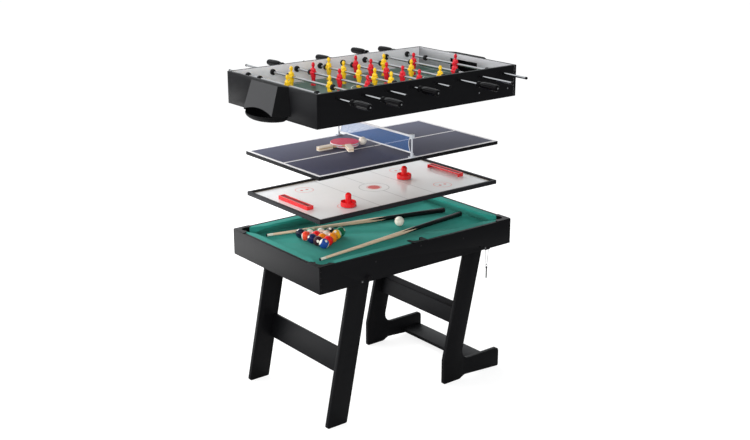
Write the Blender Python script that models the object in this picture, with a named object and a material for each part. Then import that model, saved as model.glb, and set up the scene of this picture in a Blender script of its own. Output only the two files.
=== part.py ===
"""Multi game table: a folding pool table, shown with its hockey top, its table
tennis top and its football box lifted off above it.

Metres. +X runs along the table, +Y to its back, +Z up. The origin is on the
floor, under the middle of the table.
"""
import math

import bmesh
import bpy
from mathutils import Matrix, Vector

# Whole table
BOX_LENGTH = 1.200
BOX_WIDTH = 0.730
TABLE_HEIGHT = 0.825
WALL = 0.015
GAP = 0.0003
CUT_OVERRUN = 0.004

# Pool table
APRON_HEIGHT = 0.129
BED_DEPTH = 0.050
BED_THICKNESS = 0.009
CUSHION_WIDTH = 0.040
CUSHION_LIP = 0.020
CUSHION_FOOT = 0.022
CUSHION_ROUND = 0.003
POCKET_RADIUS = 0.033
POCKET_WALL = 0.0025
POCKET_SETBACK = 0.004
CUP_DEPTH = 0.045
CAP_THICKNESS = 0.003
CAP_REACH = 0.092
CAP_LIP = 0.001
MOUTH_FLARE_SHARE = 0.45
MOUTH_REACH_SHARE = 2.83
BALL_DIAMETER = 0.050
BALL_TOUCH = 0.0002
RACK_ROWS = 5
RACK_ROW_X_SHARE = -0.281
RACK_CENTRE_Y_SHARE = 0.084
CUE_BALL_X_SHARE = 0.147
CUE_BALL_Y_SHARE = 0.018
CUE_CLEARANCE = 0.170
CUE_TIP_RADIUS = 0.0065
CUE_BUTT_RADIUS = 0.0140
CUE_BUMPER_LENGTH = 0.008
CUE_BUMPER_DROP = 0.003
CUE_FACETS = 10
CUE_PLACES_SHARES = (((-0.379, 0.398), (0.429, 0.063)), ((-0.381, -0.233), (0.447, -0.079)))

# Folding legs
PIVOT_RISE = 0.009
LEG_BOARD = 0.020
LEG_WIDTH = 0.114
LEG_CORNER = 0.009
LEG_PLAY = 0.0010
LEFT_PIVOT_INSET = 0.227
LEFT_LEAN_DEG = 11.3
RIGHT_PIVOT_INSET = 0.1605
RIGHT_LEAN_DEG = 12.7
RIGHT_PIVOT_EDGE = 0.020
RIGHT_LEG_TOP = 0.034
RIGHT_TOP_ROUND = 0.018
LEG_LANES_GAP = 0.003
FOOT_LENGTH = 0.385
FOOT_HEIGHT = 0.105
HEEL_LENGTH = 0.109
HEEL_HEIGHT = 0.130
OGEE_RUN = 0.035
FOOT_ARCH = 0.017
TOE_ROUND = 0.020
CROTCH_ROUND = 0.050
OGEE_ROUND = 0.024
STRETCHER_THICKNESS = 0.018
LEFT_STRETCHER_WIDTH = 0.122
LEFT_STRETCHER_DROP = 0.431
LEFT_STRETCHER_INSET = 0.006
RIGHT_STRETCHER_WIDTH = 0.112
RIGHT_STRETCHER_DROP = 0.368
RIGHT_STRETCHER_SIDE = 0.004
RIGHT_LEDGE_WIDTH = 0.028
RIGHT_LEDGE_STEP = 0.005
FOOT_BOARD_WIDTH = 0.125
FOOT_BOARD_LIFT = 0.024
FOOT_BOARD_TOE_GAP = 0.014
BOLT_RADIUS = 0.004
BOLT_PLAY = 0.0004
BOLT_HEAD_RADIUS = 0.009
BOLT_HEAD_HEIGHT = 0.004
SPACER_RADIUS = 0.014
LOCK_SIDE = 0.036
LOCK_RISE = 0.013
KNOB_RADIUS = 0.013
KNOB_LENGTH = 0.020
KNOB_COLLAR = 0.006
KNOB_CROWN = 0.004
KNOB_NECK_RADIUS = 0.007

# Lock pin that hangs on its lanyard
LANYARD_INSET = 0.139
CORD_DIAMETER = 0.0020
LOOP_HALF_WIDTH = 0.0095
LOOP_DROP = 0.0825
BEND_RADIUS = 0.0045
FITTING_LENGTH = 0.030
FITTING_WIDTH = 0.012
FITTING_THICKNESS = 0.005
EYE_RADIUS = 0.0060
EYE_WIRE_RADIUS = 0.0009
PIN_HEAD_RADIUS = 0.0048
PIN_HEAD_LENGTH = 0.007
PIN_SHAFT_RADIUS = 0.0032
PIN_SHAFT_LENGTH = 0.052
PIN_POINT_LENGTH = 0.004
PIN_EYE_SINK = 0.0012

# Tops that lie between the pool table and the football box
TOP_LENGTH = 1.100
TOP_WIDTH = 0.608
HOCKEY_LIFT = 0.180
HOCKEY_THICKNESS = 0.020
RIM_WIDTH = 0.014
RIM_LIP = 0.009
RIM_LEDGE = 0.006
HOCKEY_BED_THICKNESS = 0.005
GOAL_BOX_LENGTH = 0.240
GOAL_BOX_DEPTH = 0.036
GOAL_BOX_HEIGHT = 0.024
GOAL_BOX_WALL = 0.003
GOAL_BOX_SETBACK = 0.060
PUSHER_RADIUS = 0.038
PUSHER_RIM_HEIGHT = 0.026
PUSHER_RIM_WALL = 0.004
PUSHER_FLOOR = 0.010
PUSHER_HEIGHT = 0.068
KNOB_FOOT_RADIUS = 0.019
KNOB_TOP_RADIUS = 0.0155
PUSHER_PLACES_SHARES = ((-0.27, -0.30), (0.20, 0.05))
TENNIS_LIFT = 0.185
TENNIS_THICKNESS = 0.018
POST_INSET = 0.014
POST_FOOT_LENGTH = 0.036
POST_FOOT_WIDTH = 0.020
POST_FOOT_HEIGHT = 0.005
POST_SIZE = 0.006
POST_HEIGHT = 0.112
POST_BLOCK_LENGTH = 0.022
POST_BLOCK_WIDTH = 0.016
POST_BLOCK_HEIGHT = 0.020
NET_BOTTOM = 0.018
NET_HEIGHT = 0.088
NET_THICKNESS = 0.0012
NET_TOP_TAPE = 0.010
NET_BOTTOM_TAPE = 0.008
NET_STRAND = 0.0022
NET_COLUMNS = 20
NET_ROWS = 4
PADDLE_RADIUS = 0.071
PADDLE_PLY = 0.009
PADDLE_HANDLE_LENGTH = 0.090
PADDLE_HANDLE_WIDTH = 0.026
PADDLE_SHOULDER = 0.012
PADDLE_SCALE = 0.005
PADDLE_SCALE_START = 0.078
PADDLE_SCALE_STEP = 0.001
PADDLE_PLACE_SHARES = (-0.105, 0.143)
PADDLE_ANGLES_DEG = (180.0, 244.5)
PADDLE_ARC_STEPS = 18
TENNIS_BALL_DIAMETER = 0.040
TENNIS_BALL_ANGLE_DEG = -22.6
TENNIS_BALL_CLEARANCE = 0.001

# Football box
BOX_LIFT = 0.233
BOX_HEIGHT = 0.154
FIELD_DEPTH = 0.098
FIELD_THICKNESS = 0.009
GOAL_WIDTH = 0.200
GOAL_HEIGHT = 0.070
ROD_DROP = 0.030
END_ROD_CLEARANCE = 0.088
ROD_RADIUS = 0.0060
ROD_PLAY = 0.0004
ROD_FACETS = 8
ROD_TEAMS = ("front", "front", "back", "front", "back", "front", "back", "back")
ROD_MEN = (1, 2, 3, 5, 5, 3, 2, 1)
ROD_NAMES = ("yellow_keeper", "yellow_defence", "red_attack", "yellow_midfield",
             "red_midfield", "yellow_attack", "red_defence", "red_keeper")
ROD_SHIFT_SHARES = (-0.10, -0.20, 0.10, -0.42, 0.14, 0.28, 0.20, 0.35)
TWO_MEN_SPACING = 0.310
THREE_MEN_SPACING = 0.215
FIVE_MEN_SPACING = 0.123
KEEPER_TRAVEL = 0.100
HANDLE_CLEARANCE = 0.020
PLAIN_END_CLEARANCE = 0.032
BUMPER_RADIUS = 0.0150
BUMPER_LENGTH = 0.012
STOP_RING_RADIUS = 0.0140
STOP_RING_LENGTH = 0.012
RING_FACETS = 8
HANDLE_RADIUS = 0.0180
HANDLE_LENGTH = 0.132
HANDLE_COLLAR_RADIUS = 0.0145
HANDLE_NECK_RADIUS = 0.0100
HANDLE_SCREW_RADIUS = 0.0045
HANDLE_SCREW_HEIGHT = 0.002
HANDLE_PROFILE_SHARES = ((0.00, 0.55), (0.02, 1.00), (0.10, 1.00), (0.14, 0.00))
HANDLE_BODY_SHARES = ((0.20, 0.72), (0.38, 1.00), (0.84, 0.92), (1.00, 0.62))
END_CAP_RADIUS = 0.0068
END_CAP_LENGTH = 0.008
END_CAP_ROUND = 0.0015
MAN_FOOT_CLEARANCE = 0.006
MAN_ABOVE_ROD = 0.052
MAN_HALF_WIDTH = 0.0175
MAN_HALF_DEPTH = 0.0108
MAN_CORNER_SHARE = 0.62
MAN_BELOW_SHARES = ((1.00, 1.00, 0.74), (0.74, 0.66, 0.60), (0.20, 0.86, 0.84))
MAN_ABOVE_SHARES = ((0.38, 1.00, 1.00), (0.50, 0.48, 0.38), (0.74, 0.82, 0.52), (1.00, 0.52, 0.34))

# Goal hoods on the ends of the football box: a flat front panel with slanted sides, over a round ball bowl
HOOD_TOP_WIDTH = 0.304
HOOD_TOP_DEPTH = 0.028
HOOD_PANEL_WIDTH = 0.330
HOOD_PANEL_DEPTH = 0.070
HOOD_PANEL_DROP = 0.118
HOOD_RIM_DROP = 0.132
HOOD_BOWL_WIDTH = 0.270
HOOD_BOWL_DEPTH = 0.106
HOOD_BOWL_DROP = 0.172
HOOD_BOWL_SHARES = ((0.00, 1.00), (0.50, 0.93), (0.86, 0.70), (1.00, 0.38))
HOOD_WALL = 0.003
HOOD_LIP = 0.001
HOOD_ARC_STEPS = 16
HOOD_SLOT_WIDTH = 0.222
HOOD_SLOT_RISE = 0.018

# Roundness
ARC_STEPS = 5
POCKET_FACETS = 12
MOUTH_STEPS = 7
BALL_SEGMENTS = 12
BALL_RINGS = 5
SMALL_FACETS = 10
WIRE_FACETS = 6
BEND_STEPS = 8
CORD_STEP_SHARE = 2.5
SMOOTH_ANGLE_DEG = 38.0

INNER_X = BOX_LENGTH / 2 - WALL
INNER_Y = BOX_WIDTH / 2 - WALL
LEFT_PIVOT_X = LEFT_PIVOT_INSET - INNER_X
RIGHT_PIVOT_X = INNER_X - RIGHT_PIVOT_INSET
LANYARD_X = INNER_X - LANYARD_INSET
CUE_LENGTH = INNER_X * 2 - CUE_CLEARANCE
APRON_BOTTOM = TABLE_HEIGHT - APRON_HEIGHT
PIVOT_HEIGHT = APRON_BOTTOM + PIVOT_RISE
BED_TOP = TABLE_HEIGHT - BED_DEPTH
HOCKEY_BOTTOM = TABLE_HEIGHT + HOCKEY_LIFT
HOCKEY_TOP = HOCKEY_BOTTOM + HOCKEY_THICKNESS
HOCKEY_FLOOR = HOCKEY_TOP - RIM_LIP
TENNIS_BOTTOM = HOCKEY_TOP + TENNIS_LIFT
TENNIS_TOP = TENNIS_BOTTOM + TENNIS_THICKNESS
BOX_BOTTOM = TENNIS_TOP + BOX_LIFT
BOX_TOP = BOX_BOTTOM + BOX_HEIGHT
FIELD_TOP = BOX_TOP - FIELD_DEPTH
ROD_HEIGHT = BOX_TOP - ROD_DROP
LEFT_LANE = INNER_Y - LEG_PLAY - LEG_BOARD
RIGHT_LANE = LEFT_LANE - LEG_LANES_GAP - LEG_BOARD
SIDES = (-1, 1)
POCKET_NAMES = ("front_left", "front_middle", "front_right", "back_left", "back_middle", "back_right")


def clear_scene():
    """Remove every object that is already in the file."""
    for item in list(bpy.data.objects):
        bpy.data.objects.remove(item, do_unlink=True)


def make_material(name, colour, roughness, metallic=0.0):
    """Return a plain Principled material."""
    material = bpy.data.materials.new(name)
    material.use_nodes = True
    shader = material.node_tree.nodes["Principled BSDF"]
    shader.inputs["Base Color"].default_value = (*colour, 1.0)
    shader.inputs["Roughness"].default_value = roughness
    shader.inputs["Metallic"].default_value = metallic
    return material


def make_empty(name, location, parent=None):
    """Return an empty that carries what moves together."""
    empty = bpy.data.objects.new(name, None)
    empty.location = location
    empty.parent = parent
    bpy.context.scene.collection.objects.link(empty)
    return empty


def make_object(name, shape, material, parent):
    """Turn a bmesh, drawn in world places, into an object under its parent."""
    bmesh.ops.recalc_face_normals(shape, faces=shape.faces)
    mesh = bpy.data.meshes.new(name)
    shape.to_mesh(mesh)
    shape.free()
    mesh.transform(Matrix.Translation(-world_place(parent)))
    mesh.materials.append(material)
    mesh.shade_smooth()
    mesh.set_sharp_from_angle(angle=math.radians(SMOOTH_ANGLE_DEG))
    item = bpy.data.objects.new(name, mesh)
    item.parent = parent
    bpy.context.scene.collection.objects.link(item)
    return item


def world_place(item):
    """Add up the locations of an empty and of what it hangs on."""
    place = Vector((0.0, 0.0, 0.0))
    while item is not None:
        place += item.location
        item = item.parent
    return place


def on_plane(u, v, w, plane):
    """Place a point of a flat drawing, w above its plane."""
    return {"XY": Vector((u, v, w)), "XZ": Vector((u, w, v)), "YZ": Vector((w, u, v))}[plane]


def round_corners(corners, steps=ARC_STEPS):
    """Return the outline through (u, v, radius) corners, each one filleted."""
    outline = []
    for index, (u, v, radius) in enumerate(corners):
        here = Vector((u, v))
        before = Vector(corners[index - 1][:2]) - here
        after = Vector(corners[(index + 1) % len(corners)][:2]) - here
        if radius <= 0.0:
            outline.append(tuple(here))
            continue
        half = before.angle(after) / 2
        reach = min(radius / math.tan(half), before.length / 2, after.length / 2)
        radius = reach * math.tan(half)
        centre = here + (before.normalized() + after.normalized()).normalized() * (radius / math.sin(half))
        start = here + before.normalized() * reach - centre
        end = here + after.normalized() * reach - centre
        turn = start.angle_signed(end)
        for step in range(steps + 1):
            spoke = start.copy()
            spoke.rotate(Matrix.Rotation(-turn * step / steps, 2))
            outline.append(tuple(centre + spoke))
    return outline


def rectangle(u_low, u_high, v_low, v_high):
    """Return the four corners of a rectangle."""
    return [(u_low, v_low), (u_high, v_low), (u_high, v_high), (u_low, v_high)]


def circle(u, v, radius, facets):
    """Return a regular outline about (u, v)."""
    return [(u + radius * math.cos(math.tau * step / facets), v + radius * math.sin(math.tau * step / facets))
            for step in range(facets)]


def add_plate(shape, outline, low, high, plane, holes=()):
    """Add a flat board from its outline and its holes."""
    edges = []
    rims = []
    for loop in (outline, *holes):
        rim = [shape.verts.new(on_plane(u, v, low, plane)) for u, v in loop]
        edges += [shape.edges.new((rim[index - 1], rim[index])) for index in range(len(rim))]
        rims.append(rim)
    filled = bmesh.ops.triangle_fill(shape, use_beauty=True, use_dissolve=False, edges=edges)
    bottom = [part for part in filled["geom"] if isinstance(part, bmesh.types.BMFace)]
    lift = on_plane(0.0, 0.0, high - low, plane)
    upper = {vertex: shape.verts.new(vertex.co + lift) for rim in rims for vertex in rim}
    for face in bottom:
        shape.faces.new([upper[vertex] for vertex in reversed(face.verts)])
    for rim in rims:
        for index, vertex in enumerate(rim):
            before = rim[index - 1]
            shape.faces.new((before, vertex, upper[vertex], upper[before]))


def add_block(shape, low, high):
    """Add a box between two corners."""
    add_plate(shape, rectangle(low[0], high[0], low[1], high[1]), low[2], high[2], "XY")


def add_loft(shape, rings, closed=False):
    """Join rings of equal count, and cap the first and last unless the loft closes on itself."""
    loops = [[shape.verts.new(point) for point in ring] for ring in rings]
    pairs = list(zip(loops, loops[1:]))
    if closed:
        pairs.append((loops[-1], loops[0]))
    for first, second in pairs:
        for index in range(len(first)):
            shape.faces.new((first[index - 1], first[index], second[index], second[index - 1]))
    if not closed:
        shape.faces.new(loops[0])
        shape.faces.new(loops[-1])


def turned_point(radius, height, angle, centre, axis):
    """Return a point of a turned shape."""
    across = radius * math.cos(angle)
    up = radius * math.sin(angle)
    local = {"Z": (across, up, height), "Y": (across, height, up), "X": (height, across, up)}[axis]
    return Vector(centre) + Vector(local)


def add_turning(shape, profile, facets, centre=(0.0, 0.0, 0.0), axis="Z", ring=False):
    """Turn a profile of (radius, height) about an axis; a ring's profile is a closed loop."""
    loops = []
    for radius, height in profile:
        count = facets if radius > 0.0 else 1
        loops.append([shape.verts.new(turned_point(radius, height, math.tau * step / facets, centre, axis))
                      for step in range(count)])
    pairs = list(zip(loops, loops[1:]))
    if ring:
        pairs.append((loops[-1], loops[0]))
    for first, second in pairs:
        for index in range(facets):
            corners = [first[index - 1], first[index]] if len(first) > 1 else [first[0]]
            corners += [second[index], second[index - 1]] if len(second) > 1 else [second[0]]
            shape.faces.new(corners)
    if not ring:
        for loop in (loops[0], loops[-1]):
            if len(loop) > 1:
                shape.faces.new(loop)


def ball_shape(diameter):
    """Return a ball about the origin whose flat facets round its waist are one diameter apart."""
    radius = diameter / 2
    turn = math.pi / BALL_SEGMENTS
    waist = radius / math.cos(turn) / math.cos(math.pi / BALL_RINGS / 2)
    profile = []
    for step in range(BALL_RINGS + 1):
        angle = math.pi * step / BALL_RINGS
        inside = 0 < step < BALL_RINGS
        profile.append((waist * math.sin(angle) if inside else 0.0, radius * math.cos(angle)))
    ball = bmesh.new()
    add_turning(ball, profile, BALL_SEGMENTS)
    bmesh.ops.rotate(ball, verts=ball.verts, matrix=Matrix.Rotation(turn, 3, "Z"))
    return ball


def combine(body, tool, operation):
    """Return body after an exact Boolean with tool."""
    items = []
    for shape in (body, tool):
        bmesh.ops.recalc_face_normals(shape, faces=shape.faces)
        mesh = bpy.data.meshes.new("boolean")
        shape.to_mesh(mesh)
        shape.free()
        item = bpy.data.objects.new("boolean", mesh)
        bpy.context.scene.collection.objects.link(item)
        items.append(item)
    modifier = items[0].modifiers.new("boolean", "BOOLEAN")
    modifier.solver = "EXACT"
    modifier.operation = operation
    modifier.object = items[1]
    graph = bpy.context.evaluated_depsgraph_get()
    result = bmesh.new()
    result.from_mesh(items[0].evaluated_get(graph).to_mesh())
    for item in items:
        mesh = item.data
        bpy.data.objects.remove(item, do_unlink=True)
        bpy.data.meshes.remove(mesh)
    return result


def make_materials():
    """Return the table's materials by name."""
    return {
        "board": make_material("black_board", (0.020, 0.020, 0.022), 0.45),
        "cloth": make_material("green_cloth", (0.050, 0.275, 0.205), 0.90),
        "plastic": make_material("black_plastic", (0.012, 0.012, 0.013), 0.40),
        "steel": make_material("bright_steel", (0.62, 0.62, 0.63), 0.22, 1.0),
        "maple": make_material("pale_maple", (0.62, 0.42, 0.26), 0.40),
        "ball": make_material("ball_resin", (0.55, 0.12, 0.06), 0.12),
        "ice": make_material("white_playfield", (0.72, 0.72, 0.71), 0.30),
        "red": make_material("red_plastic", (0.62, 0.012, 0.016), 0.30),
        "yellow": make_material("yellow_plastic", (0.82, 0.48, 0.02), 0.35),
        "blue": make_material("blue_grey_top", (0.070, 0.078, 0.120), 0.50),
        "net": make_material("blue_net", (0.10, 0.25, 0.55), 0.70),
        "grey": make_material("pale_grey_plastic", (0.55, 0.55, 0.56), 0.45),
        "rubber": make_material("red_rubber", (0.55, 0.03, 0.06), 0.60),
        "field": make_material("green_field", (0.035, 0.085, 0.060), 0.55),
        "white": make_material("white_celluloid", (0.80, 0.80, 0.78), 0.35),
        "cord": make_material("grey_cord", (0.45, 0.45, 0.45), 0.70),
    }


def bolt_hole(x, z):
    """Return the outline of a hole in which a bolt or the lock pin turns."""
    return circle(x, z, BOLT_RADIUS + BOLT_PLAY, SMALL_FACETS)


def lock_place(side_x):
    """Return where the lock pin goes through one end's boards."""
    if side_x < 0:
        return LEFT_PIVOT_X + LOCK_SIDE, PIVOT_HEIGHT + LOCK_RISE
    return RIGHT_PIVOT_X - LOCK_SIDE, PIVOT_HEIGHT + LOCK_RISE


def add_long_board(shape, side_y, bottom, top, holes):
    """Add the front or back board of a box, which runs between the end boards."""
    outline = rectangle(-INNER_X + GAP, INNER_X - GAP, bottom, top)
    faces = sorted((side_y * INNER_Y, side_y * (INNER_Y + WALL)))
    add_plate(shape, outline, faces[0], faces[1], "XZ", holes)


def add_end_board(shape, side_x, bottom, top, holes):
    """Add an end board of a box over its full width."""
    outline = rectangle(-BOX_WIDTH / 2, BOX_WIDTH / 2, bottom, top)
    faces = sorted((side_x * INNER_X, side_x * (INNER_X + WALL)))
    add_plate(shape, outline, faces[0], faces[1], "YZ", holes)


def pocket_places():
    """Return each pocket's centre and the way that it faces: (x, y, side_x, side_y)."""
    inset = POCKET_RADIUS + POCKET_SETBACK
    return [(side_x * (INNER_X - inset if side_x else 0.0), side_y * (INNER_Y - inset), side_x, side_y)
            for side_y in SIDES for side_x in (-1, 0, 1)]


def build_aprons(materials, root):
    """Model the four apron boards."""
    lock_x, lock_z = lock_place(1)
    holes = [bolt_hole(LEFT_PIVOT_X, PIVOT_HEIGHT), bolt_hole(RIGHT_PIVOT_X, PIVOT_HEIGHT), bolt_hole(lock_x, lock_z)]
    for name, side_y in (("apron_front", -1), ("apron_back", 1)):
        board = bmesh.new()
        add_long_board(board, side_y, APRON_BOTTOM, TABLE_HEIGHT, holes)
        knob = bmesh.new()
        add_knob(knob, side_y)
        make_object(name, combine(board, knob, "UNION"), materials["board"], root)
    for name, side_x in (("apron_left", -1), ("apron_right", 1)):
        shape = bmesh.new()
        add_end_board(shape, side_x, APRON_BOTTOM, TABLE_HEIGHT, [])
        make_object(name, shape, materials["board"], root)


def build_pool_bed(materials, root):
    """Model the bed panel, cut away round the six pocket cups."""
    shape = bmesh.new()
    edge_x = INNER_X - GAP
    edge_y = INNER_Y - GAP
    add_block(shape, (-edge_x, -edge_y, BED_TOP - BED_THICKNESS), (edge_x, edge_y, BED_TOP))
    for x, y, side_x, side_y in pocket_places():
        tool = bmesh.new()
        radius = POCKET_RADIUS + GAP * 2
        low = BED_TOP - BED_THICKNESS - CUT_OVERRUN
        add_turning(tool, [(radius, low), (radius, BED_TOP + CUT_OVERRUN)], POCKET_FACETS)
        turn = Matrix.Translation((x, y, 0.0)) @ Matrix.Rotation(math.atan2(side_y, side_x), 4, "Z")
        bmesh.ops.transform(tool, verts=tool.verts, matrix=turn)
        shape = combine(shape, tool, "DIFFERENCE")
    make_object("pool_bed", shape, materials["cloth"], root)


def pocket_mouth(side_x, side_y):
    """Return the cut for a pocket in the rails, about its centre: round behind, and flared towards the table."""
    radius = (POCKET_RADIUS + GAP * 2) / math.cos(math.pi / MOUTH_STEPS / 2)
    facing = math.atan2(-side_y, -side_x)
    outline = []
    for step in range(MOUTH_STEPS + 1):
        angle = facing + math.pi / 2 + math.pi * step / MOUTH_STEPS
        outline.append(Vector((math.cos(angle), math.sin(angle))) * radius)
    reach = CUSHION_WIDTH * MOUTH_REACH_SHARE
    for side, corner in ((-1, outline[-1]), (1, outline[0])):
        flare = facing + side * math.atan(MOUTH_FLARE_SHARE)
        outline.append(corner + Vector((math.cos(flare), math.sin(flare))) * reach)
    return [tuple(point) for point in outline]


def build_cushions(materials, root):
    """Model the cushion rails as one ring, cut open for the six pockets."""
    foot = BED_TOP + GAP
    nose = CUSHION_WIDTH - CUSHION_ROUND
    profile = [(0.0, foot), (CUSHION_FOOT, foot), (CUSHION_WIDTH, TABLE_HEIGHT - CUSHION_LIP),
               (CUSHION_WIDTH, TABLE_HEIGHT - CUSHION_ROUND), (nose, TABLE_HEIGHT), (0.0, TABLE_HEIGHT)]
    shape = bmesh.new()
    rings = [[Vector((side_x * (INNER_X - GAP - inset), side_y * (INNER_Y - GAP - inset), height))
              for inset, height in profile] for side_x, side_y in ((-1, -1), (1, -1), (1, 1), (-1, 1))]
    add_loft(shape, rings, closed=True)
    for x, y, side_x, side_y in pocket_places():
        tool = bmesh.new()
        outline = [(x + u, y + v) for u, v in pocket_mouth(side_x, side_y)]
        add_plate(tool, outline, foot - CUT_OVERRUN, TABLE_HEIGHT + CUT_OVERRUN, "XY")
        shape = combine(shape, tool, "DIFFERENCE")
    make_object("cushion_rails", shape, materials["cloth"], root)


def cup_shape():
    """Return a pocket cup about the origin, open on its -X side above the bed."""
    top = TABLE_HEIGHT - BED_TOP + GAP + CAP_THICKNESS / 2
    inner = POCKET_RADIUS - POCKET_WALL
    cup = bmesh.new()
    add_turning(cup, [(0.0, -CUP_DEPTH), (inner, -CUP_DEPTH), (POCKET_RADIUS, -CUP_DEPTH + POCKET_WALL),
                      (POCKET_RADIUS, top), (inner, top), (inner, -CUP_DEPTH + POCKET_WALL * 2),
                      (0.0, -CUP_DEPTH + POCKET_WALL)], POCKET_FACETS)
    tool = bmesh.new()
    reach = POCKET_RADIUS + CUT_OVERRUN
    add_block(tool, (-reach, -reach, 0.0), (-CAP_LIP / 2, reach, top + CUT_OVERRUN))
    return combine(cup, tool, "DIFFERENCE")


def cap_arc(start, turn):
    """Return the inner edge of a pocket's cap, just inside its cup, over half a circle."""
    radius = POCKET_RADIUS - POCKET_WALL - CAP_LIP
    steps = POCKET_FACETS // 2
    return [(radius * math.cos(start - turn * step / steps), radius * math.sin(start - turn * step / steps))
            for step in range(steps + 1)]


def corner_cap_outline():
    """Return the cap of a corner pocket, about the pocket's centre, its corner towards +U and +V."""
    edge = POCKET_RADIUS + POCKET_SETBACK + WALL
    end = edge - CAP_REACH
    return [(edge, edge), (end, edge), (end, POCKET_RADIUS)] + cap_arc(math.pi * 3 / 4, math.pi) \
        + [(POCKET_RADIUS, end), (edge, end)]


def middle_cap_outline():
    """Return the cap of a middle pocket, about the pocket's centre, its wall towards +V."""
    edge = POCKET_RADIUS + POCKET_SETBACK + WALL
    reach = CAP_REACH / 2
    return [(reach, -CAP_LIP), (reach, edge), (-reach, edge), (-reach, -CAP_LIP)] + cap_arc(math.pi, math.pi)


def build_pockets(materials, root):
    """Model each pocket liner as its cup and the cap that lies over the rail, in one piece."""
    cap_low = TABLE_HEIGHT + GAP
    for (x, y, side_x, side_y), name in zip(pocket_places(), POCKET_NAMES):
        cup = cup_shape()
        turn = Matrix.Translation((x, y, BED_TOP)) @ Matrix.Rotation(math.atan2(side_y, side_x), 4, "Z")
        bmesh.ops.transform(cup, verts=cup.verts, matrix=turn)
        if side_x:
            outline = [(x + side_x * u, y + side_y * v) for u, v in corner_cap_outline()]
        else:
            outline = [(x + u, y + side_y * v) for u, v in middle_cap_outline()]
        cap = bmesh.new()
        add_plate(cap, outline, cap_low, cap_low + CAP_THICKNESS, "XY")
        make_object(f"pocket_{name}", combine(cup, cap, "UNION"), materials["plastic"], root)


def build_balls(materials, root):
    """Model the racked balls, joined where they touch, and the cue ball."""
    pitch = BALL_DIAMETER - BALL_TOUCH
    height = BED_TOP + GAP + BALL_DIAMETER / 2
    row_x = RACK_ROW_X_SHARE * BOX_LENGTH
    row_y = RACK_CENTRE_Y_SHARE * BOX_WIDTH
    rack = None
    for row in range(RACK_ROWS):
        count = RACK_ROWS - row
        for place in range(count):
            y = row_y + (place - (count - 1) / 2) * pitch
            ball = ball_shape(BALL_DIAMETER)
            bmesh.ops.translate(ball, verts=ball.verts, vec=(row_x + row * pitch * math.sqrt(3) / 2, y, height))
            rack = combine(rack, ball, "UNION") if rack else ball
    make_object("racked_balls", rack, materials["ball"], root)
    cue_ball = ball_shape(BALL_DIAMETER)
    place = (CUE_BALL_X_SHARE * BOX_LENGTH, CUE_BALL_Y_SHARE * BOX_WIDTH, height)
    bmesh.ops.translate(cue_ball, verts=cue_ball.verts, vec=place)
    make_object("cue_ball", cue_ball, materials["ice"], root)


def build_cues(materials, root):
    """Model the two cues, which lie on the cloth and taper to their tips."""
    slope = (CUE_BUTT_RADIUS - CUE_TIP_RADIUS) / CUE_LENGTH
    for number, (tip, butt) in enumerate(CUE_PLACES_SHARES):
        start = Vector((tip[0] * BOX_LENGTH, tip[1] * BOX_WIDTH, 0.0))
        along = Vector((butt[0] * BOX_LENGTH, butt[1] * BOX_WIDTH, 0.0)) - start
        start.z = BED_TOP + GAP + CUE_TIP_RADIUS
        along = Vector((along.x, along.y, slope * along.length)).normalized()
        cue = bmesh.new()
        body = CUE_LENGTH - CUE_BUMPER_LENGTH
        add_turning(cue, [(CUE_TIP_RADIUS, 0.0), (CUE_TIP_RADIUS + slope * body, body),
                          (CUE_BUTT_RADIUS - CUE_BUMPER_DROP, CUE_LENGTH)], CUE_FACETS)
        turn = Vector((0.0, 0.0, 1.0)).rotation_difference(along).to_matrix().to_4x4()
        bmesh.ops.transform(cue, verts=cue.verts, matrix=Matrix.Translation(start) @ turn)
        make_object(f"cue_{number + 1}", cue, materials["maple"], root)


def add_knob(shape, side_y):
    """Add a lock knob on the outside of the front or back apron."""
    lock_x, lock_z = lock_place(-1)
    root = INNER_Y + WALL / 2
    outer = INNER_Y + WALL
    end = outer + KNOB_LENGTH
    profile = [(0.0, root), (KNOB_RADIUS, root), (KNOB_RADIUS, outer + KNOB_CROWN),
               (KNOB_NECK_RADIUS, outer + KNOB_COLLAR), (KNOB_RADIUS, outer + KNOB_COLLAR + KNOB_CROWN),
               (KNOB_RADIUS, end - KNOB_CROWN), (KNOB_NECK_RADIUS, end), (0.0, end)]
    add_turning(shape, [(r, side_y * y) for r, y in profile], RING_FACETS * 2, (lock_x, 0.0, lock_z), "Y")


def build_lanyard_fitting(materials, root):
    """Model the small block under the front apron that holds both ends of the lanyard."""
    shape = bmesh.new()
    cord_y = -(INNER_Y + WALL / 2)
    top = APRON_BOTTOM - GAP
    add_block(shape, (LANYARD_X - FITTING_LENGTH / 2, cord_y - FITTING_WIDTH / 2, top - FITTING_THICKNESS),
              (LANYARD_X + FITTING_LENGTH / 2, cord_y + FITTING_WIDTH / 2, top))
    make_object("lanyard_fitting", shape, materials["plastic"], root)


def lanyard_route():
    """Return the cord's own points: down one strand, round the bend and up the other."""
    top = APRON_BOTTOM - FITTING_THICKNESS - GAP * 2
    y = -(INNER_Y + WALL / 2)
    strand = [(LOOP_HALF_WIDTH, 0.0), (LOOP_HALF_WIDTH, -0.006), (0.0082, -0.025), (0.0063, -0.050),
              (BEND_RADIUS + 0.0002, -0.070)]
    bend = []
    for step in range(BEND_STEPS + 1):
        angle = math.pi * step / BEND_STEPS
        bend.append((BEND_RADIUS * math.cos(angle), -LOOP_DROP + BEND_RADIUS * (1 - math.sin(angle))))
    across = strand + bend + [(-u, v) for u, v in reversed(strand)]
    return [Vector((LANYARD_X + u, y, top + v)) for u, v in across]


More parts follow.
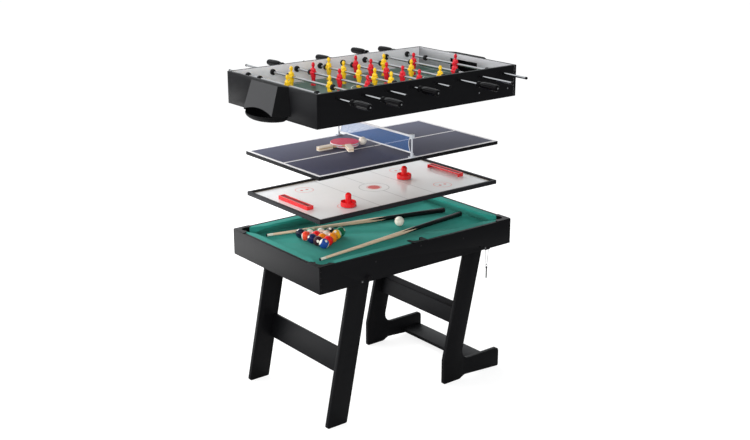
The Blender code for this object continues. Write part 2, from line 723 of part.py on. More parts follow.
def smooth_points(route, step):
    """Return points along a smooth curve through the route, about one step apart."""
    points = [route[0]]
    for index in range(len(route) - 1):
        p1, p2 = route[index], route[index + 1]
        p0 = route[index - 1] if index else p1
        p3 = route[index + 2] if index + 2 < len(route) else p2
        count = max(1, round((p2 - p1).length / step))
        for part in range(1, count + 1):
            t = part / count
            points.append(0.5 * (2 * p1 + (p2 - p0) * t + (2 * p0 - 5 * p1 + 4 * p2 - p3) * t ** 2
                                 + (3 * p1 - p0 - 3 * p2 + p3) * t ** 3))
    return points


def build_lanyard(materials, root):
    """Model the lanyard as one thin tube along its route."""
    curve = bpy.data.curves.new("lanyard", "CURVE")
    curve.dimensions = "3D"
    curve.bevel_depth = CORD_DIAMETER / 2
    curve.bevel_resolution = 2
    curve.use_fill_caps = True
    points = smooth_points(lanyard_route(), CORD_DIAMETER * CORD_STEP_SHARE)
    spline = curve.splines.new("POLY")
    spline.points.add(len(points) - 1)
    for target, point in zip(spline.points, points):
        target.co = (*(point - world_place(root)), 1.0)
    curve.materials.append(materials["cord"])
    item = bpy.data.objects.new("lanyard", curve)
    item.parent = root
    bpy.context.scene.collection.objects.link(item)


def build_lock_pin(materials, root):
    """Model the pin that hangs by its eye from the bend of the cord."""
    bend_z = APRON_BOTTOM - FITTING_THICKNESS - GAP * 2 - LOOP_DROP
    eye_z = bend_z + CORD_DIAMETER / 2 + GAP + EYE_WIRE_RADIUS - EYE_RADIUS
    y = -(INNER_Y + WALL / 2)
    eye = bmesh.new()
    wire = [(EYE_RADIUS + u, v) for u, v in circle(0.0, 0.0, EYE_WIRE_RADIUS, WIRE_FACETS)]
    add_turning(eye, wire, POCKET_FACETS, (LANYARD_X, y, eye_z), "X", ring=True)
    head_z = eye_z - EYE_RADIUS + PIN_EYE_SINK - EYE_WIRE_RADIUS
    pin = bmesh.new()
    shaft_end = -PIN_HEAD_LENGTH - PIN_SHAFT_LENGTH
    add_turning(pin, [(0.0, 0.0), (PIN_SHAFT_RADIUS, 0.0), (PIN_HEAD_RADIUS, -PIN_EYE_SINK),
                      (PIN_HEAD_RADIUS, -PIN_HEAD_LENGTH), (PIN_SHAFT_RADIUS, -PIN_HEAD_LENGTH),
                      (PIN_SHAFT_RADIUS, shaft_end), (PIN_SHAFT_RADIUS / 2, shaft_end - PIN_POINT_LENGTH),
                      (0.0, shaft_end - PIN_POINT_LENGTH)], SMALL_FACETS, (LANYARD_X, y, head_z))
    make_object("lock_pin", combine(pin, eye, "UNION"), materials["steel"], root)


def left_leg_outline():
    """Return the left leg board: a leaning board with a round top about its pivot."""
    lean = math.radians(LEFT_LEAN_DEG)
    half = LEG_WIDTH / 2
    foot_x = LEFT_PIVOT_X - PIVOT_HEIGHT * math.tan(lean)
    across = half / math.cos(lean)
    tangent = Vector((math.cos(lean), -math.sin(lean))) * half
    corners = [(LEFT_PIVOT_X - tangent.x, PIVOT_HEIGHT - tangent.y, 0.0), (foot_x - across, 0.0, LEG_CORNER),
               (foot_x + across, 0.0, LEG_CORNER), (LEFT_PIVOT_X + tangent.x, PIVOT_HEIGHT + tangent.y, 0.0)]
    outline = round_corners(corners)
    steps = POCKET_FACETS // 2
    for step in range(1, steps):
        angle = math.pi * step / steps - lean
        outline.append((LEFT_PIVOT_X + half * math.cos(angle), PIVOT_HEIGHT + half * math.sin(angle)))
    return outline


def right_edge_x(height, from_edge):
    """Return X on the right leg at a height, measured in from its right edge."""
    lean = math.radians(RIGHT_LEAN_DEG)
    offset = (RIGHT_PIVOT_EDGE - from_edge) / math.cos(lean)
    return RIGHT_PIVOT_X + (height - PIVOT_HEIGHT) * math.tan(lean) + offset


def right_leg_outline():
    """Return the right leg board with its heel, arched sole, long toe and filleted crotch."""
    lean = math.radians(RIGHT_LEAN_DEG)
    up = Vector((math.sin(lean), math.cos(lean)))
    right = Vector((math.cos(lean), -math.sin(lean)))
    pivot = Vector((RIGHT_PIVOT_X, PIVOT_HEIGHT)) + up * RIGHT_LEG_TOP
    top_right = pivot + right * RIGHT_PIVOT_EDGE
    top_left = top_right - right * LEG_WIDTH
    heel = right_edge_x(HEEL_HEIGHT, LEG_WIDTH)
    toe = heel + FOOT_LENGTH
    corners = [(heel, 0.0, LEG_CORNER), (heel + HEEL_LENGTH, 0.0, OGEE_ROUND),
               (heel + HEEL_LENGTH + OGEE_RUN, FOOT_ARCH, OGEE_ROUND), (toe, 0.0, LEG_CORNER),
               (toe, FOOT_HEIGHT, TOE_ROUND), (right_edge_x(FOOT_HEIGHT, 0.0), FOOT_HEIGHT, CROTCH_ROUND),
               (top_right.x, top_right.y, RIGHT_TOP_ROUND), (top_left.x, top_left.y, RIGHT_TOP_ROUND),
               (heel, HEEL_HEIGHT, CROTCH_ROUND)]
    return round_corners(corners)


def leg_shape(outline, side_x, side_y, lane):
    """Return a leg board in its lane beside the apron, with the pivot bolt that it turns on."""
    faces = sorted((side_y * lane, side_y * (lane + LEG_BOARD)))
    holes = []
    if side_x > 0:
        holes.append(bolt_hole(*lock_place(1)))
    board = bmesh.new()
    add_plate(board, outline, faces[0], faces[1], "XZ", holes)
    pivot_x = LEFT_PIVOT_X if side_x < 0 else RIGHT_PIVOT_X
    middle = lane + LEG_BOARD / 2
    spacer = INNER_Y - LEG_PLAY / 2
    outer = INNER_Y + WALL + LEG_PLAY / 2
    head = outer + BOLT_HEAD_HEIGHT
    bolt = bmesh.new()
    profile = [(0.0, middle), (SPACER_RADIUS, middle), (SPACER_RADIUS, spacer), (BOLT_RADIUS, spacer),
               (BOLT_RADIUS, outer), (BOLT_HEAD_RADIUS, outer), (BOLT_HEAD_RADIUS, outer + BOLT_HEAD_HEIGHT / 2),
               (BOLT_HEAD_RADIUS / 2, head), (0.0, head)]
    add_turning(bolt, [(r, side_y * y) for r, y in profile], SMALL_FACETS, (pivot_x, 0.0, PIVOT_HEIGHT), "Y")
    return combine(board, bolt, "UNION")


def slanted_outline(centre, lean, width, thickness):
    """Return a rectangle across the lean of a leg: width along it, thickness across it."""
    along = Vector((math.sin(lean), math.cos(lean))) * (width / 2)
    across = Vector((math.cos(lean), -math.sin(lean))) * (thickness / 2)
    middle = Vector(centre)
    return [tuple(middle + along * a + across * b) for a, b in ((-1, -1), (-1, 1), (1, 1), (1, -1))]


def build_left_frame(materials, pivot):
    """Model the left leg boards and the stretcher between them."""
    for name, side_y in (("left_leg_front", -1), ("left_leg_back", 1)):
        make_object(name, leg_shape(left_leg_outline(), -1, side_y, LEFT_LANE), materials["board"], pivot)
    lean = math.radians(LEFT_LEAN_DEG)
    inset = LEG_WIDTH / 2 - LEFT_STRETCHER_INSET - STRETCHER_THICKNESS / 2
    centre = (LEFT_PIVOT_X - LEFT_STRETCHER_DROP * math.sin(lean) + inset * math.cos(lean),
              PIVOT_HEIGHT - LEFT_STRETCHER_DROP * math.cos(lean) - inset * math.sin(lean))
    shape = bmesh.new()
    outline = slanted_outline(centre, lean, LEFT_STRETCHER_WIDTH, STRETCHER_THICKNESS)
    add_plate(shape, outline, -LEFT_LANE + GAP, LEFT_LANE - GAP, "XZ")
    make_object("left_leg_stretcher", shape, materials["board"], pivot)


def build_right_frame(materials, pivot):
    """Model the right leg boards with their long feet, the stepped stretcher and the foot board."""
    for name, side_y in (("right_leg_front", -1), ("right_leg_back", 1)):
        make_object(name, leg_shape(right_leg_outline(), 1, side_y, RIGHT_LANE), materials["board"], pivot)
    lean = math.radians(RIGHT_LEAN_DEG)
    along = Vector((math.sin(lean), math.cos(lean)))
    across = Vector((math.cos(lean), -math.sin(lean)))
    middle = Vector((RIGHT_PIVOT_X, PIVOT_HEIGHT)) + across * (RIGHT_PIVOT_EDGE - LEG_WIDTH / 2 - RIGHT_STRETCHER_SIDE)
    middle -= along * RIGHT_STRETCHER_DROP
    half = RIGHT_STRETCHER_WIDTH / 2
    thick = STRETCHER_THICKNESS / 2
    ledge = half - RIGHT_LEDGE_WIDTH
    corners = [(-half, -thick), (-half, thick), (half, thick), (half, RIGHT_LEDGE_STEP - thick),
               (ledge, RIGHT_LEDGE_STEP - thick), (ledge, -thick)]
    outline = [tuple(middle + along * a + across * b) for a, b in corners]
    shape = bmesh.new()
    add_plate(shape, outline, -RIGHT_LANE + GAP, RIGHT_LANE - GAP, "XZ")
    make_object("right_leg_stretcher", shape, materials["board"], pivot)
    toe = right_edge_x(HEEL_HEIGHT, LEG_WIDTH) + FOOT_LENGTH - FOOT_BOARD_TOE_GAP
    shape = bmesh.new()
    add_block(shape, (toe - FOOT_BOARD_WIDTH, -RIGHT_LANE + GAP, FOOT_BOARD_LIFT),
              (toe, RIGHT_LANE - GAP, FOOT_BOARD_LIFT + STRETCHER_THICKNESS))
    make_object("right_foot_board", shape, materials["board"], pivot)


def build_hockey_top(materials, lift):
    """Model the hockey top: its rim, panel, goal boxes and pushers."""
    half_x = TOP_LENGTH / 2
    half_y = TOP_WIDTH / 2
    shelf_low = HOCKEY_FLOOR - HOCKEY_BED_THICKNESS - GAP
    profile = [(0.0, HOCKEY_BOTTOM), (RIM_WIDTH + RIM_LEDGE, HOCKEY_BOTTOM), (RIM_WIDTH + RIM_LEDGE, shelf_low),
               (RIM_WIDTH, shelf_low), (RIM_WIDTH, HOCKEY_TOP), (0.0, HOCKEY_TOP)]
    rim = bmesh.new()
    rings = [[Vector((side_x * (half_x - inset), side_y * (half_y - inset), height)) for inset, height in profile]
             for side_x, side_y in ((-1, -1), (1, -1), (1, 1), (-1, 1))]
    add_loft(rim, rings, closed=True)
    make_object("hockey_rim", rim, materials["plastic"], lift)
    bed = bmesh.new()
    edge = RIM_WIDTH + GAP
    add_block(bed, (edge - half_x, edge - half_y, HOCKEY_FLOOR - HOCKEY_BED_THICKNESS),
              (half_x - edge, half_y - edge, HOCKEY_FLOOR))
    for side_x in SIDES:
        goal = goal_box_shape()
        bmesh.ops.transform(goal, verts=goal.verts, matrix=Matrix.Scale(side_x, 4, (1.0, 0.0, 0.0)))
        bed = combine(bed, goal, "UNION")
    make_object("hockey_playfield", bed, materials["ice"], lift)
    for number, (share_x, share_y) in enumerate(PUSHER_PLACES_SHARES):
        pusher = bmesh.new()
        add_pusher(pusher, (share_x * TOP_LENGTH, share_y * TOP_WIDTH, HOCKEY_FLOOR + GAP))
        make_object(f"pusher_{number + 1}", pusher, materials["red"], lift)


def goal_box_shape():
    """Return the goal box at the +X end, open towards the middle, its foot sunk in the panel."""
    outer_x = TOP_LENGTH / 2 - GOAL_BOX_SETBACK
    low = HOCKEY_FLOOR - HOCKEY_BED_THICKNESS / 2
    high = HOCKEY_FLOOR + GOAL_BOX_HEIGHT
    half = GOAL_BOX_LENGTH / 2
    box = bmesh.new()
    add_block(box, (outer_x - GOAL_BOX_DEPTH, -half, low), (outer_x, half, high))
    tool = bmesh.new()
    wall = GOAL_BOX_WALL
    add_block(tool, (outer_x - GOAL_BOX_DEPTH - CUT_OVERRUN, -half + wall, low - CUT_OVERRUN),
              (outer_x - wall, half - wall, high - wall))
    return combine(box, tool, "DIFFERENCE")


def add_pusher(shape, place):
    """Add a pusher: a cup rim round a domed knob."""
    inner = PUSHER_RADIUS - PUSHER_RIM_WALL
    dome = PUSHER_HEIGHT - KNOB_TOP_RADIUS
    slope = KNOB_TOP_RADIUS * math.sin(math.pi / 4)
    profile = [(0.0, 0.0), (PUSHER_RADIUS, 0.0), (PUSHER_RADIUS, PUSHER_RIM_HEIGHT), (inner, PUSHER_RIM_HEIGHT),
               (inner, PUSHER_FLOOR), (KNOB_FOOT_RADIUS, PUSHER_FLOOR), (KNOB_TOP_RADIUS, PUSHER_RIM_HEIGHT),
               (KNOB_TOP_RADIUS, dome), (slope, dome + slope), (0.0, PUSHER_HEIGHT)]
    add_turning(shape, profile, POCKET_FACETS, place)


def build_tennis_top(materials, lift):
    """Model the table tennis top with its net, posts, paddles and ball."""
    board = bmesh.new()
    half_x = TOP_LENGTH / 2
    half_y = TOP_WIDTH / 2
    add_block(board, (-half_x, -half_y, TENNIS_BOTTOM), (half_x, half_y, TENNIS_TOP))
    make_object("tennis_board", board, materials["blue"], lift)
    for name, side_y in (("net_post_front", -1), ("net_post_back", 1)):
        post = bmesh.new()
        add_post(post, side_y * (half_y - POST_INSET), TENNIS_TOP + GAP)
        make_object(name, post, materials["grey"], lift)
    build_net(materials, lift)
    build_paddles(materials, lift)
    ball = ball_shape(TENNIS_BALL_DIAMETER)
    reach = PADDLE_RADIUS + TENNIS_BALL_DIAMETER / 2 + TENNIS_BALL_CLEARANCE
    angle = math.radians(TENNIS_BALL_ANGLE_DEG)
    place = paddles_centre() + Vector((reach * math.cos(angle), reach * math.sin(angle),
                                       TENNIS_TOP + GAP + TENNIS_BALL_DIAMETER / 2))
    bmesh.ops.translate(ball, verts=ball.verts, vec=place)
    make_object("tennis_ball", ball, materials["white"], lift)


def add_post(shape, y, low):
    """Add a net post as one solid: a foot, a stem and a top block."""
    levels = [(POST_FOOT_LENGTH, POST_FOOT_WIDTH, 0.0), (POST_FOOT_LENGTH, POST_FOOT_WIDTH, POST_FOOT_HEIGHT),
              (POST_SIZE, POST_SIZE, POST_FOOT_HEIGHT), (POST_SIZE, POST_SIZE, POST_HEIGHT - POST_BLOCK_HEIGHT),
              (POST_BLOCK_LENGTH, POST_BLOCK_WIDTH, POST_HEIGHT - POST_BLOCK_HEIGHT),
              (POST_BLOCK_LENGTH, POST_BLOCK_WIDTH, POST_HEIGHT)]
    add_loft(shape, [[Vector((u, y + v, low + height))
                      for u, v in rectangle(-length / 2, length / 2, -width / 2, width / 2)]
                     for length, width, height in levels])


def build_net(materials, lift):
    """Model the net as a sheet with its two tapes and its rows of gaps."""
    bottom = TENNIS_TOP + GAP + NET_BOTTOM
    top = bottom + NET_HEIGHT
    post_y = TOP_WIDTH / 2 - POST_INSET
    half = post_y - POST_BLOCK_WIDTH / 2 - GAP
    pitch_y = (half * 2 - NET_STRAND) / NET_COLUMNS
    mesh_low = bottom + NET_BOTTOM_TAPE
    pitch_z = (top - NET_TOP_TAPE - mesh_low + NET_STRAND) / NET_ROWS
    gaps = []
    for column in range(NET_COLUMNS):
        for row in range(NET_ROWS):
            y = -half + NET_STRAND + column * pitch_y
            z = mesh_low + row * pitch_z
            gaps.append(rectangle(y, y + pitch_y - NET_STRAND, z, z + pitch_z - NET_STRAND))
    shape = bmesh.new()
    add_plate(shape, rectangle(-half, half, bottom, top), -NET_THICKNESS / 2, NET_THICKNESS / 2, "YZ", gaps)
    make_object("tennis_net", shape, materials["net"], lift)


def paddle_outline():
    """Return a paddle's ply: a round blade that runs into its handle along +U."""
    half = PADDLE_HANDLE_WIDTH / 2
    opening = math.asin((half + PADDLE_SHOULDER) / PADDLE_RADIUS)
    outline = []
    for step in range(PADDLE_ARC_STEPS + 1):
        angle = opening + (math.tau - opening * 2) * step / PADDLE_ARC_STEPS
        outline.append((PADDLE_RADIUS * math.cos(angle), PADDLE_RADIUS * math.sin(angle)))
    end = PADDLE_RADIUS + PADDLE_HANDLE_LENGTH
    start = PADDLE_RADIUS + PADDLE_SHOULDER / 2
    return outline + [(start, -half), (end, -half), (end, half), (start, half)]


def paddles_centre():
    """Return where the two crossed paddles' blades have their centre."""
    return Vector((PADDLE_PLACE_SHARES[0] * TOP_LENGTH, PADDLE_PLACE_SHARES[1] * TOP_WIDTH, 0.0))


def build_paddles(materials, lift):
    """Model the two paddles, one lying on the other."""
    centre = paddles_centre()
    half = PADDLE_HANDLE_WIDTH / 2 + PADDLE_SCALE_STEP
    end = PADDLE_RADIUS + PADDLE_HANDLE_LENGTH + PADDLE_SCALE_STEP
    for level, (name, angle) in enumerate(zip(("paddle_lower", "paddle_upper"), PADDLE_ANGLES_DEG)):
        low = TENNIS_TOP + PADDLE_SCALE + GAP + level * (PADDLE_PLY + GAP)
        ply = bmesh.new()
        add_plate(ply, paddle_outline(), low, low + PADDLE_PLY, "XY")
        grip = bmesh.new()
        add_block(grip, (PADDLE_SCALE_START, -half, low - PADDLE_SCALE), (end, half, low + PADDLE_PLY + PADDLE_SCALE))
        paddle = combine(ply, grip, "UNION")
        turn = Matrix.Translation(centre) @ Matrix.Rotation(math.radians(angle), 4, "Z")
        bmesh.ops.transform(paddle, verts=paddle.verts, matrix=turn)
        make_object(name, paddle, materials["rubber"], lift)


def rod_x(index):
    """Return where a rod crosses the football box, the rods evenly spaced between the two end ones."""
    share = index * 2 / (len(ROD_MEN) - 1) - 1
    return (INNER_X - END_ROD_CLEARANCE) * share


def men_offsets(count):
    """Return the places of a rod's men, measured from its middle."""
    spacing = {1: 0.0, 2: TWO_MEN_SPACING, 3: THREE_MEN_SPACING, 5: FIVE_MEN_SPACING}[count]
    return [(place - (count - 1) / 2) * spacing for place in range(count)]


def ring_offset(count):
    """Return how far a rod's stop rings stand from its middle, to their inner faces."""
    if count == 1:
        return INNER_Y - BUMPER_LENGTH - GAP - KEEPER_TRAVEL - STOP_RING_LENGTH
    return max(men_offsets(count)) + MAN_HALF_WIDTH + GAP


def rod_travel(count):
    """Return how far a rod slides each way before a stop ring meets a wall bumper."""
    return INNER_Y - BUMPER_LENGTH - GAP - ring_offset(count) - STOP_RING_LENGTH


def rod_row(radius, low, high, side_y):
    """Return one cylinder on each rod's line, between two distances from the middle."""
    shape = bmesh.new()
    for index in range(len(ROD_MEN)):
        add_turning(shape, [(radius, side_y * low), (radius, side_y * high)], RING_FACETS,
                    (rod_x(index), 0.0, ROD_HEIGHT), "Y")
    return shape


def build_box(materials, lift):
    """Model the football box: four walls, the playing panel and the goal hoods."""
    for name, side_y in (("box_front", -1), ("box_back", 1)):
        board = bmesh.new()
        add_long_board(board, side_y, BOX_BOTTOM, BOX_TOP, [])
        bumpers = rod_row(BUMPER_RADIUS, INNER_Y - BUMPER_LENGTH, INNER_Y + WALL / 2, side_y)
        bores = rod_row(bore_radius(ROD_RADIUS), INNER_Y - BUMPER_LENGTH - CUT_OVERRUN,
                        INNER_Y + WALL + CUT_OVERRUN, side_y)
        board = combine(board, bumpers, "UNION")
        make_object(name, combine(board, bores, "DIFFERENCE"), materials["board"], lift)
    mouth_low = FIELD_TOP + GAP
    mouth = rectangle(-GOAL_WIDTH / 2, GOAL_WIDTH / 2, mouth_low, mouth_low + GOAL_HEIGHT)
    for name, side_x in (("box_left_end", -1), ("box_right_end", 1)):
        shape = bmesh.new()
        add_end_board(shape, side_x, BOX_BOTTOM, BOX_TOP, [mouth])
        make_object(name, shape, materials["board"], lift)
    field = bmesh.new()
    edge_x = INNER_X - GAP
    edge_y = INNER_Y - GAP
    add_block(field, (-edge_x, -edge_y, FIELD_TOP - FIELD_THICKNESS), (edge_x, edge_y, FIELD_TOP))
    make_object("football_playfield", field, materials["field"], lift)
    for name, side_x in (("goal_hood_left", -1), ("goal_hood_right", 1)):
        hood = hood_shape()
        bmesh.ops.transform(hood, verts=hood.verts, matrix=Matrix.Scale(side_x, 4, (1.0, 0.0, 0.0)))
        make_object(name, hood, materials["plastic"], lift)


def bore_radius(radius):
    """Return the corner radius of a faceted bore that a bar of this radius turns in."""
    return (radius + ROD_PLAY) / math.cos(math.pi / RING_FACETS)


def hood_ring(width, depth, roundness, height, inset, back):
    """Return one level of a hood, seen from above: from a flat front with slanted sides to a half ellipse."""
    half = width / 2 - inset
    reach = depth - inset
    corner = math.cos(math.pi / 4)
    ring = []
    for step in range(HOOD_ARC_STEPS + 1):
        angle = math.pi * step / HOOD_ARC_STEPS
        flat = min(1.0, (1.0 - abs(math.cos(angle))) / (1.0 - corner))
        out = reach * (flat + (math.sin(angle) - flat) * roundness)
        if step in (0, HOOD_ARC_STEPS):
            out = back
        ring.append(Vector((INNER_X + WALL + GAP + out, -half * math.cos(angle), height)))
    return ring


def hood_rings(inset, back):
    """Return the rings of a hood's moulding, from its flat top to the bottom of its bowl."""
    rings = [hood_ring(HOOD_TOP_WIDTH, HOOD_TOP_DEPTH, 0.0, BOX_TOP - inset, inset, back),
             hood_ring(HOOD_PANEL_WIDTH, HOOD_PANEL_DEPTH, 0.0, BOX_TOP - HOOD_PANEL_DROP, inset, back)]
    for down, share in HOOD_BOWL_SHARES:
        height = BOX_TOP - HOOD_RIM_DROP - (HOOD_BOWL_DROP - inset - HOOD_RIM_DROP) * down
        behind = back if height > BOX_BOTTOM else inset
        rings.append(hood_ring(HOOD_BOWL_WIDTH * share, HOOD_BOWL_DEPTH * share, 1.0, height, inset, behind))
    return rings


def hood_shape():
    """Return the goal hood on the +X end: a thin moulding with a lens opening above its ball bowl."""
    outer = bmesh.new()
    add_loft(outer, hood_rings(0.0, 0.0))
    inner = bmesh.new()
    add_loft(inner, hood_rings(HOOD_WALL, -CUT_OVERRUN))
    shell = combine(outer, inner, "DIFFERENCE")
    half = HOOD_SLOT_WIDTH / 2
    low = BOX_TOP - HOOD_RIM_DROP + HOOD_LIP
    arch = [(half * (1 - 2 * step / HOOD_ARC_STEPS),
             BOX_TOP - HOOD_PANEL_DROP + HOOD_SLOT_RISE * (1 - (1 - 2 * step / HOOD_ARC_STEPS) ** 2))
            for step in range(HOOD_ARC_STEPS + 1)]
    slot = bmesh.new()
    start = INNER_X + WALL + HOOD_TOP_DEPTH
    add_plate(slot, [(-half, low), (half, low)] + arch, start, start + HOOD_BOWL_DEPTH, "YZ")
    return combine(shell, slot, "DIFFERENCE")


def man_ring(place, height, depth, width):
    """Return one level of a man: a rectangle with its corners cut."""
    near = MAN_CORNER_SHARE
    corners = ((1, near), (near, 1), (-near, 1), (-1, near), (-1, -near), (-near, -1), (near, -1), (1, -near))
    return [place + Vector((depth * u, width * v, height)) for u, v in corners]


def add_man(shape, place):
    """Add a man about a place on the rod's axis."""
    below = FIELD_DEPTH - ROD_DROP - MAN_FOOT_CLEARANCE
    levels = [(-share * below, depth, width) for share, depth, width in MAN_BELOW_SHARES]
    levels += [(share * MAN_ABOVE_ROD, depth, width) for share, depth, width in MAN_ABOVE_SHARES]
    add_loft(shape, [man_ring(place, height, depth * MAN_HALF_DEPTH, width * MAN_HALF_WIDTH)
                     for height, depth, width in levels])


def handle_profile():
    """Return a handle's outline from its inner end: a collar, a neck, a swelling grip and a screw."""
    profile = []
    for along, share in HANDLE_PROFILE_SHARES:
        radius = HANDLE_NECK_RADIUS + (HANDLE_COLLAR_RADIUS - HANDLE_NECK_RADIUS) * share
        profile.append((radius, HANDLE_LENGTH * along))
    profile += [(HANDLE_RADIUS * share, HANDLE_LENGTH * along) for along, share in HANDLE_BODY_SHARES]
    screw = HANDLE_LENGTH + HANDLE_SCREW_HEIGHT
    return profile + [(HANDLE_SCREW_RADIUS, HANDLE_LENGTH), (HANDLE_SCREW_RADIUS, screw), (0.0, screw)]


def rod_profile(count, travel):
    """Return a rod's outline from its handle's end: handle, bar and the two stop rings."""
    start = BOX_WIDTH / 2 + travel + HANDLE_CLEARANCE
    profile = [(radius, -(start + along)) for radius, along in reversed(handle_profile())]
    near = ring_offset(count)
    far = near + STOP_RING_LENGTH
    profile += [(ROD_RADIUS, -start)]
    for first, second in ((-far, -near), (near, far)):
        profile += [(ROD_RADIUS, first), (STOP_RING_RADIUS, first), (STOP_RING_RADIUS, second), (ROD_RADIUS, second)]
    end = BOX_WIDTH / 2 + travel + PLAIN_END_CLEARANCE
    return profile + [(ROD_RADIUS, end), (0.0, end)]


def build_rods(materials, lift):
    """Model the eight rods, each with its handle, stop rings and men, and its end cap."""
    for index, (name, team, count) in enumerate(zip(ROD_NAMES, ROD_TEAMS, ROD_MEN)):
        travel = rod_travel(count)
        middle_y = -ROD_SHIFT_SHARES[index] * travel
        place = Vector((rod_x(index), middle_y, ROD_HEIGHT))
        slide = make_empty(f"{name}_slide", place - world_place(lift), lift)
        spin = make_empty(f"{name}_spin", (0.0, 0.0, 0.0), slide)
        side = 1 if team == "front" else -1
        bar = bmesh.new()
        add_turning(bar, [(r, side * y) for r, y in rod_profile(count, travel)], ROD_FACETS, place, "Y")
        men = bmesh.new()
        for offset in men_offsets(count):
            add_man(men, place + Vector((0.0, offset, 0.0)))
        colour = materials["yellow"] if team == "front" else materials["red"]
        make_object(f"{name}_rod", combine(bar, men, "UNION"), colour, spin)
        end = BOX_WIDTH / 2 + travel + PLAIN_END_CLEARANCE + GAP
        cap = bmesh.new()
        profile = [(0.0, end), (END_CAP_RADIUS, end), (END_CAP_RADIUS, end + END_CAP_LENGTH - END_CAP_ROUND),
                   (END_CAP_RADIUS - END_CAP_ROUND, end + END_CAP_LENGTH), (0.0, end + END_CAP_LENGTH)]
        add_turning(cap, [(r, side * y) for r, y in profile], ROD_FACETS, place, "Y")
        make_object(f"{name}_cap", cap, materials["plastic"], slide)


def main():
    """Build the whole table."""
    clear_scene()
    materials = make_materials()
    table = make_empty("table", (0.0, 0.0, 0.0))
    build_aprons(materials, table)
    build_pool_bed(materials, table)
    build_cushions(materials, table)
    build_pockets(materials, table)
    build_balls(materials, table)
    build_cues(materials, table)
    build_lanyard_fitting(materials, table)
    build_lanyard(materials, table)
    build_lock_pin(materials, table)
    build_left_frame(materials, make_empty("left_leg_pivot", (LEFT_PIVOT_X, 0.0, PIVOT_HEIGHT), table))
    build_right_frame(materials, make_empty("right_leg_pivot", (RIGHT_PIVOT_X, 0.0, PIVOT_HEIGHT), table))
    hockey = make_empty("hockey_lift", (0.0, 0.0, HOCKEY_BOTTOM), table)
    build_hockey_top(materials, hockey)
    tennis = make_empty("tennis_lift", (0.0, 0.0, TENNIS_BOTTOM - HOCKEY_BOTTOM), hockey)
    build_tennis_top(materials, tennis)
    box = make_empty("box_lift", (0.0, 0.0, BOX_BOTTOM - TENNIS_BOTTOM), tennis)
    build_box(materials, box)
    build_rods(materials, box)


main()
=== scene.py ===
"""A multi game table: the pool table at the bottom, and its three other tops lifted off above it."""
import math

import bmesh
import bpy
from bpy.props import FloatProperty, FloatVectorProperty, IntProperty, PointerProperty
from mathutils import Euler, Matrix, Vector


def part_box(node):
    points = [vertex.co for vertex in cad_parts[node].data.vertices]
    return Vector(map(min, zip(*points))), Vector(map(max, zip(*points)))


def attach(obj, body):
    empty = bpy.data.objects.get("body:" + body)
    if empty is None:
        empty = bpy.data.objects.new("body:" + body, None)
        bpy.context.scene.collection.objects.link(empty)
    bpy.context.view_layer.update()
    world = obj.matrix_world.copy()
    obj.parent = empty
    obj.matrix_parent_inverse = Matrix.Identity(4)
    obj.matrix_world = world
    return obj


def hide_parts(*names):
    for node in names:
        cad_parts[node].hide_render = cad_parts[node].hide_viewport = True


bl_info = {
    "name": "Multi game table",
    "version": (1, 0, 0),
    "blender": (4, 5, 0),
    "location": "View3D > Sidebar > Game Table",
    "description": "Dresses the multi game table: pool, hockey, table tennis and football",
    "category": "Object",
}

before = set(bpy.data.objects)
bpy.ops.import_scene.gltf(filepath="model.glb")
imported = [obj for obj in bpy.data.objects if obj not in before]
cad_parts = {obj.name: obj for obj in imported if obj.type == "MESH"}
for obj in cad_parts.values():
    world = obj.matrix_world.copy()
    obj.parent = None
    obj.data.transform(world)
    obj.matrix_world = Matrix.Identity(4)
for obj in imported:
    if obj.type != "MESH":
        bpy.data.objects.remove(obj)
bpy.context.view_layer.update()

# Measures of the frame, in metres
SIDES = (-1, 1)
FRONT_AND_BACK = (("front", -1), ("back", 1))
LEFT_AND_RIGHT = (("left", -1), ("right", 1))
TABLE_LENGTH = 1.200
TABLE_WIDTH = 0.730
TABLE_TOP = 0.825
WALL = 0.015
INNER_X = 0.585
INNER_Y = 0.350
OUTER_Y = INNER_Y + WALL
GAP = 0.0003
BED_TOP = 0.775
APRON_BOTTOM = 0.696
PIVOT_HEIGHT = 0.705
LEG_BOARD = 0.020
POCKET_INSET = 0.037
POCKET_NAMES = ("front_left", "front_middle", "front_right", "back_left", "back_middle", "back_right")
HOCKEY_FLOOR = 1.016
TENNIS_TOP = 1.228
BOX_BOTTOM = 1.461
BOX_TOP = 1.615
FIELD_TOP = 1.517

# The rods: name, the side of their players, number of men, share of their travel at rest
RODS = (("yellow_keeper", 1, 1, -0.10), ("yellow_defence", 1, 2, -0.20), ("red_attack", -1, 3, 0.10),
        ("yellow_midfield", 1, 5, -0.42), ("red_midfield", -1, 5, 0.14), ("yellow_attack", 1, 3, 0.28),
        ("red_defence", -1, 2, 0.20), ("red_keeper", -1, 1, 0.35))
ROD_HEIGHT = 1.585
ROD_PITCH = 0.142
MEN_SPACING = {1: 0.0, 2: 0.310, 3: 0.215, 5: 0.123}
MAN_HALF_WIDTH = 0.0175
KEEPER_TRAVEL = 0.100
BUMPER_LENGTH = 0.012
STOP_RING_LENGTH = 0.012
STOP_RING_RADIUS = 0.0138
ROD_IN_HANDLE = 0.020
HANDLE_CLEARANCE = 0.020
END_CLEARANCE = 0.032

# Prints and paints lie as thin plates just above their boards
PRINT_LIFT = 0.00002
PRINT_THICKNESS = 0.0001

# At scale 1 a wave texture repeats every 0.31416 m, so its scale is this over a pitch in millimetres
WAVE_REPEAT_MM = 314.16


def linear(code):
    """Turn an sRGB hex colour into linear red, green and blue."""
    parts = [int(code[start:start + 2], 16) / 255 for start in (0, 2, 4)]
    return tuple(part / 12.92 if part <= 0.04045 else ((part + 0.055) / 1.055) ** 2.4 for part in parts)


def size(name, default, description):
    """Return a length that a user can set."""
    return FloatProperty(name=name, default=default, description=description, min=0.0, precision=5,
                         subtype="DISTANCE", unit="LENGTH")


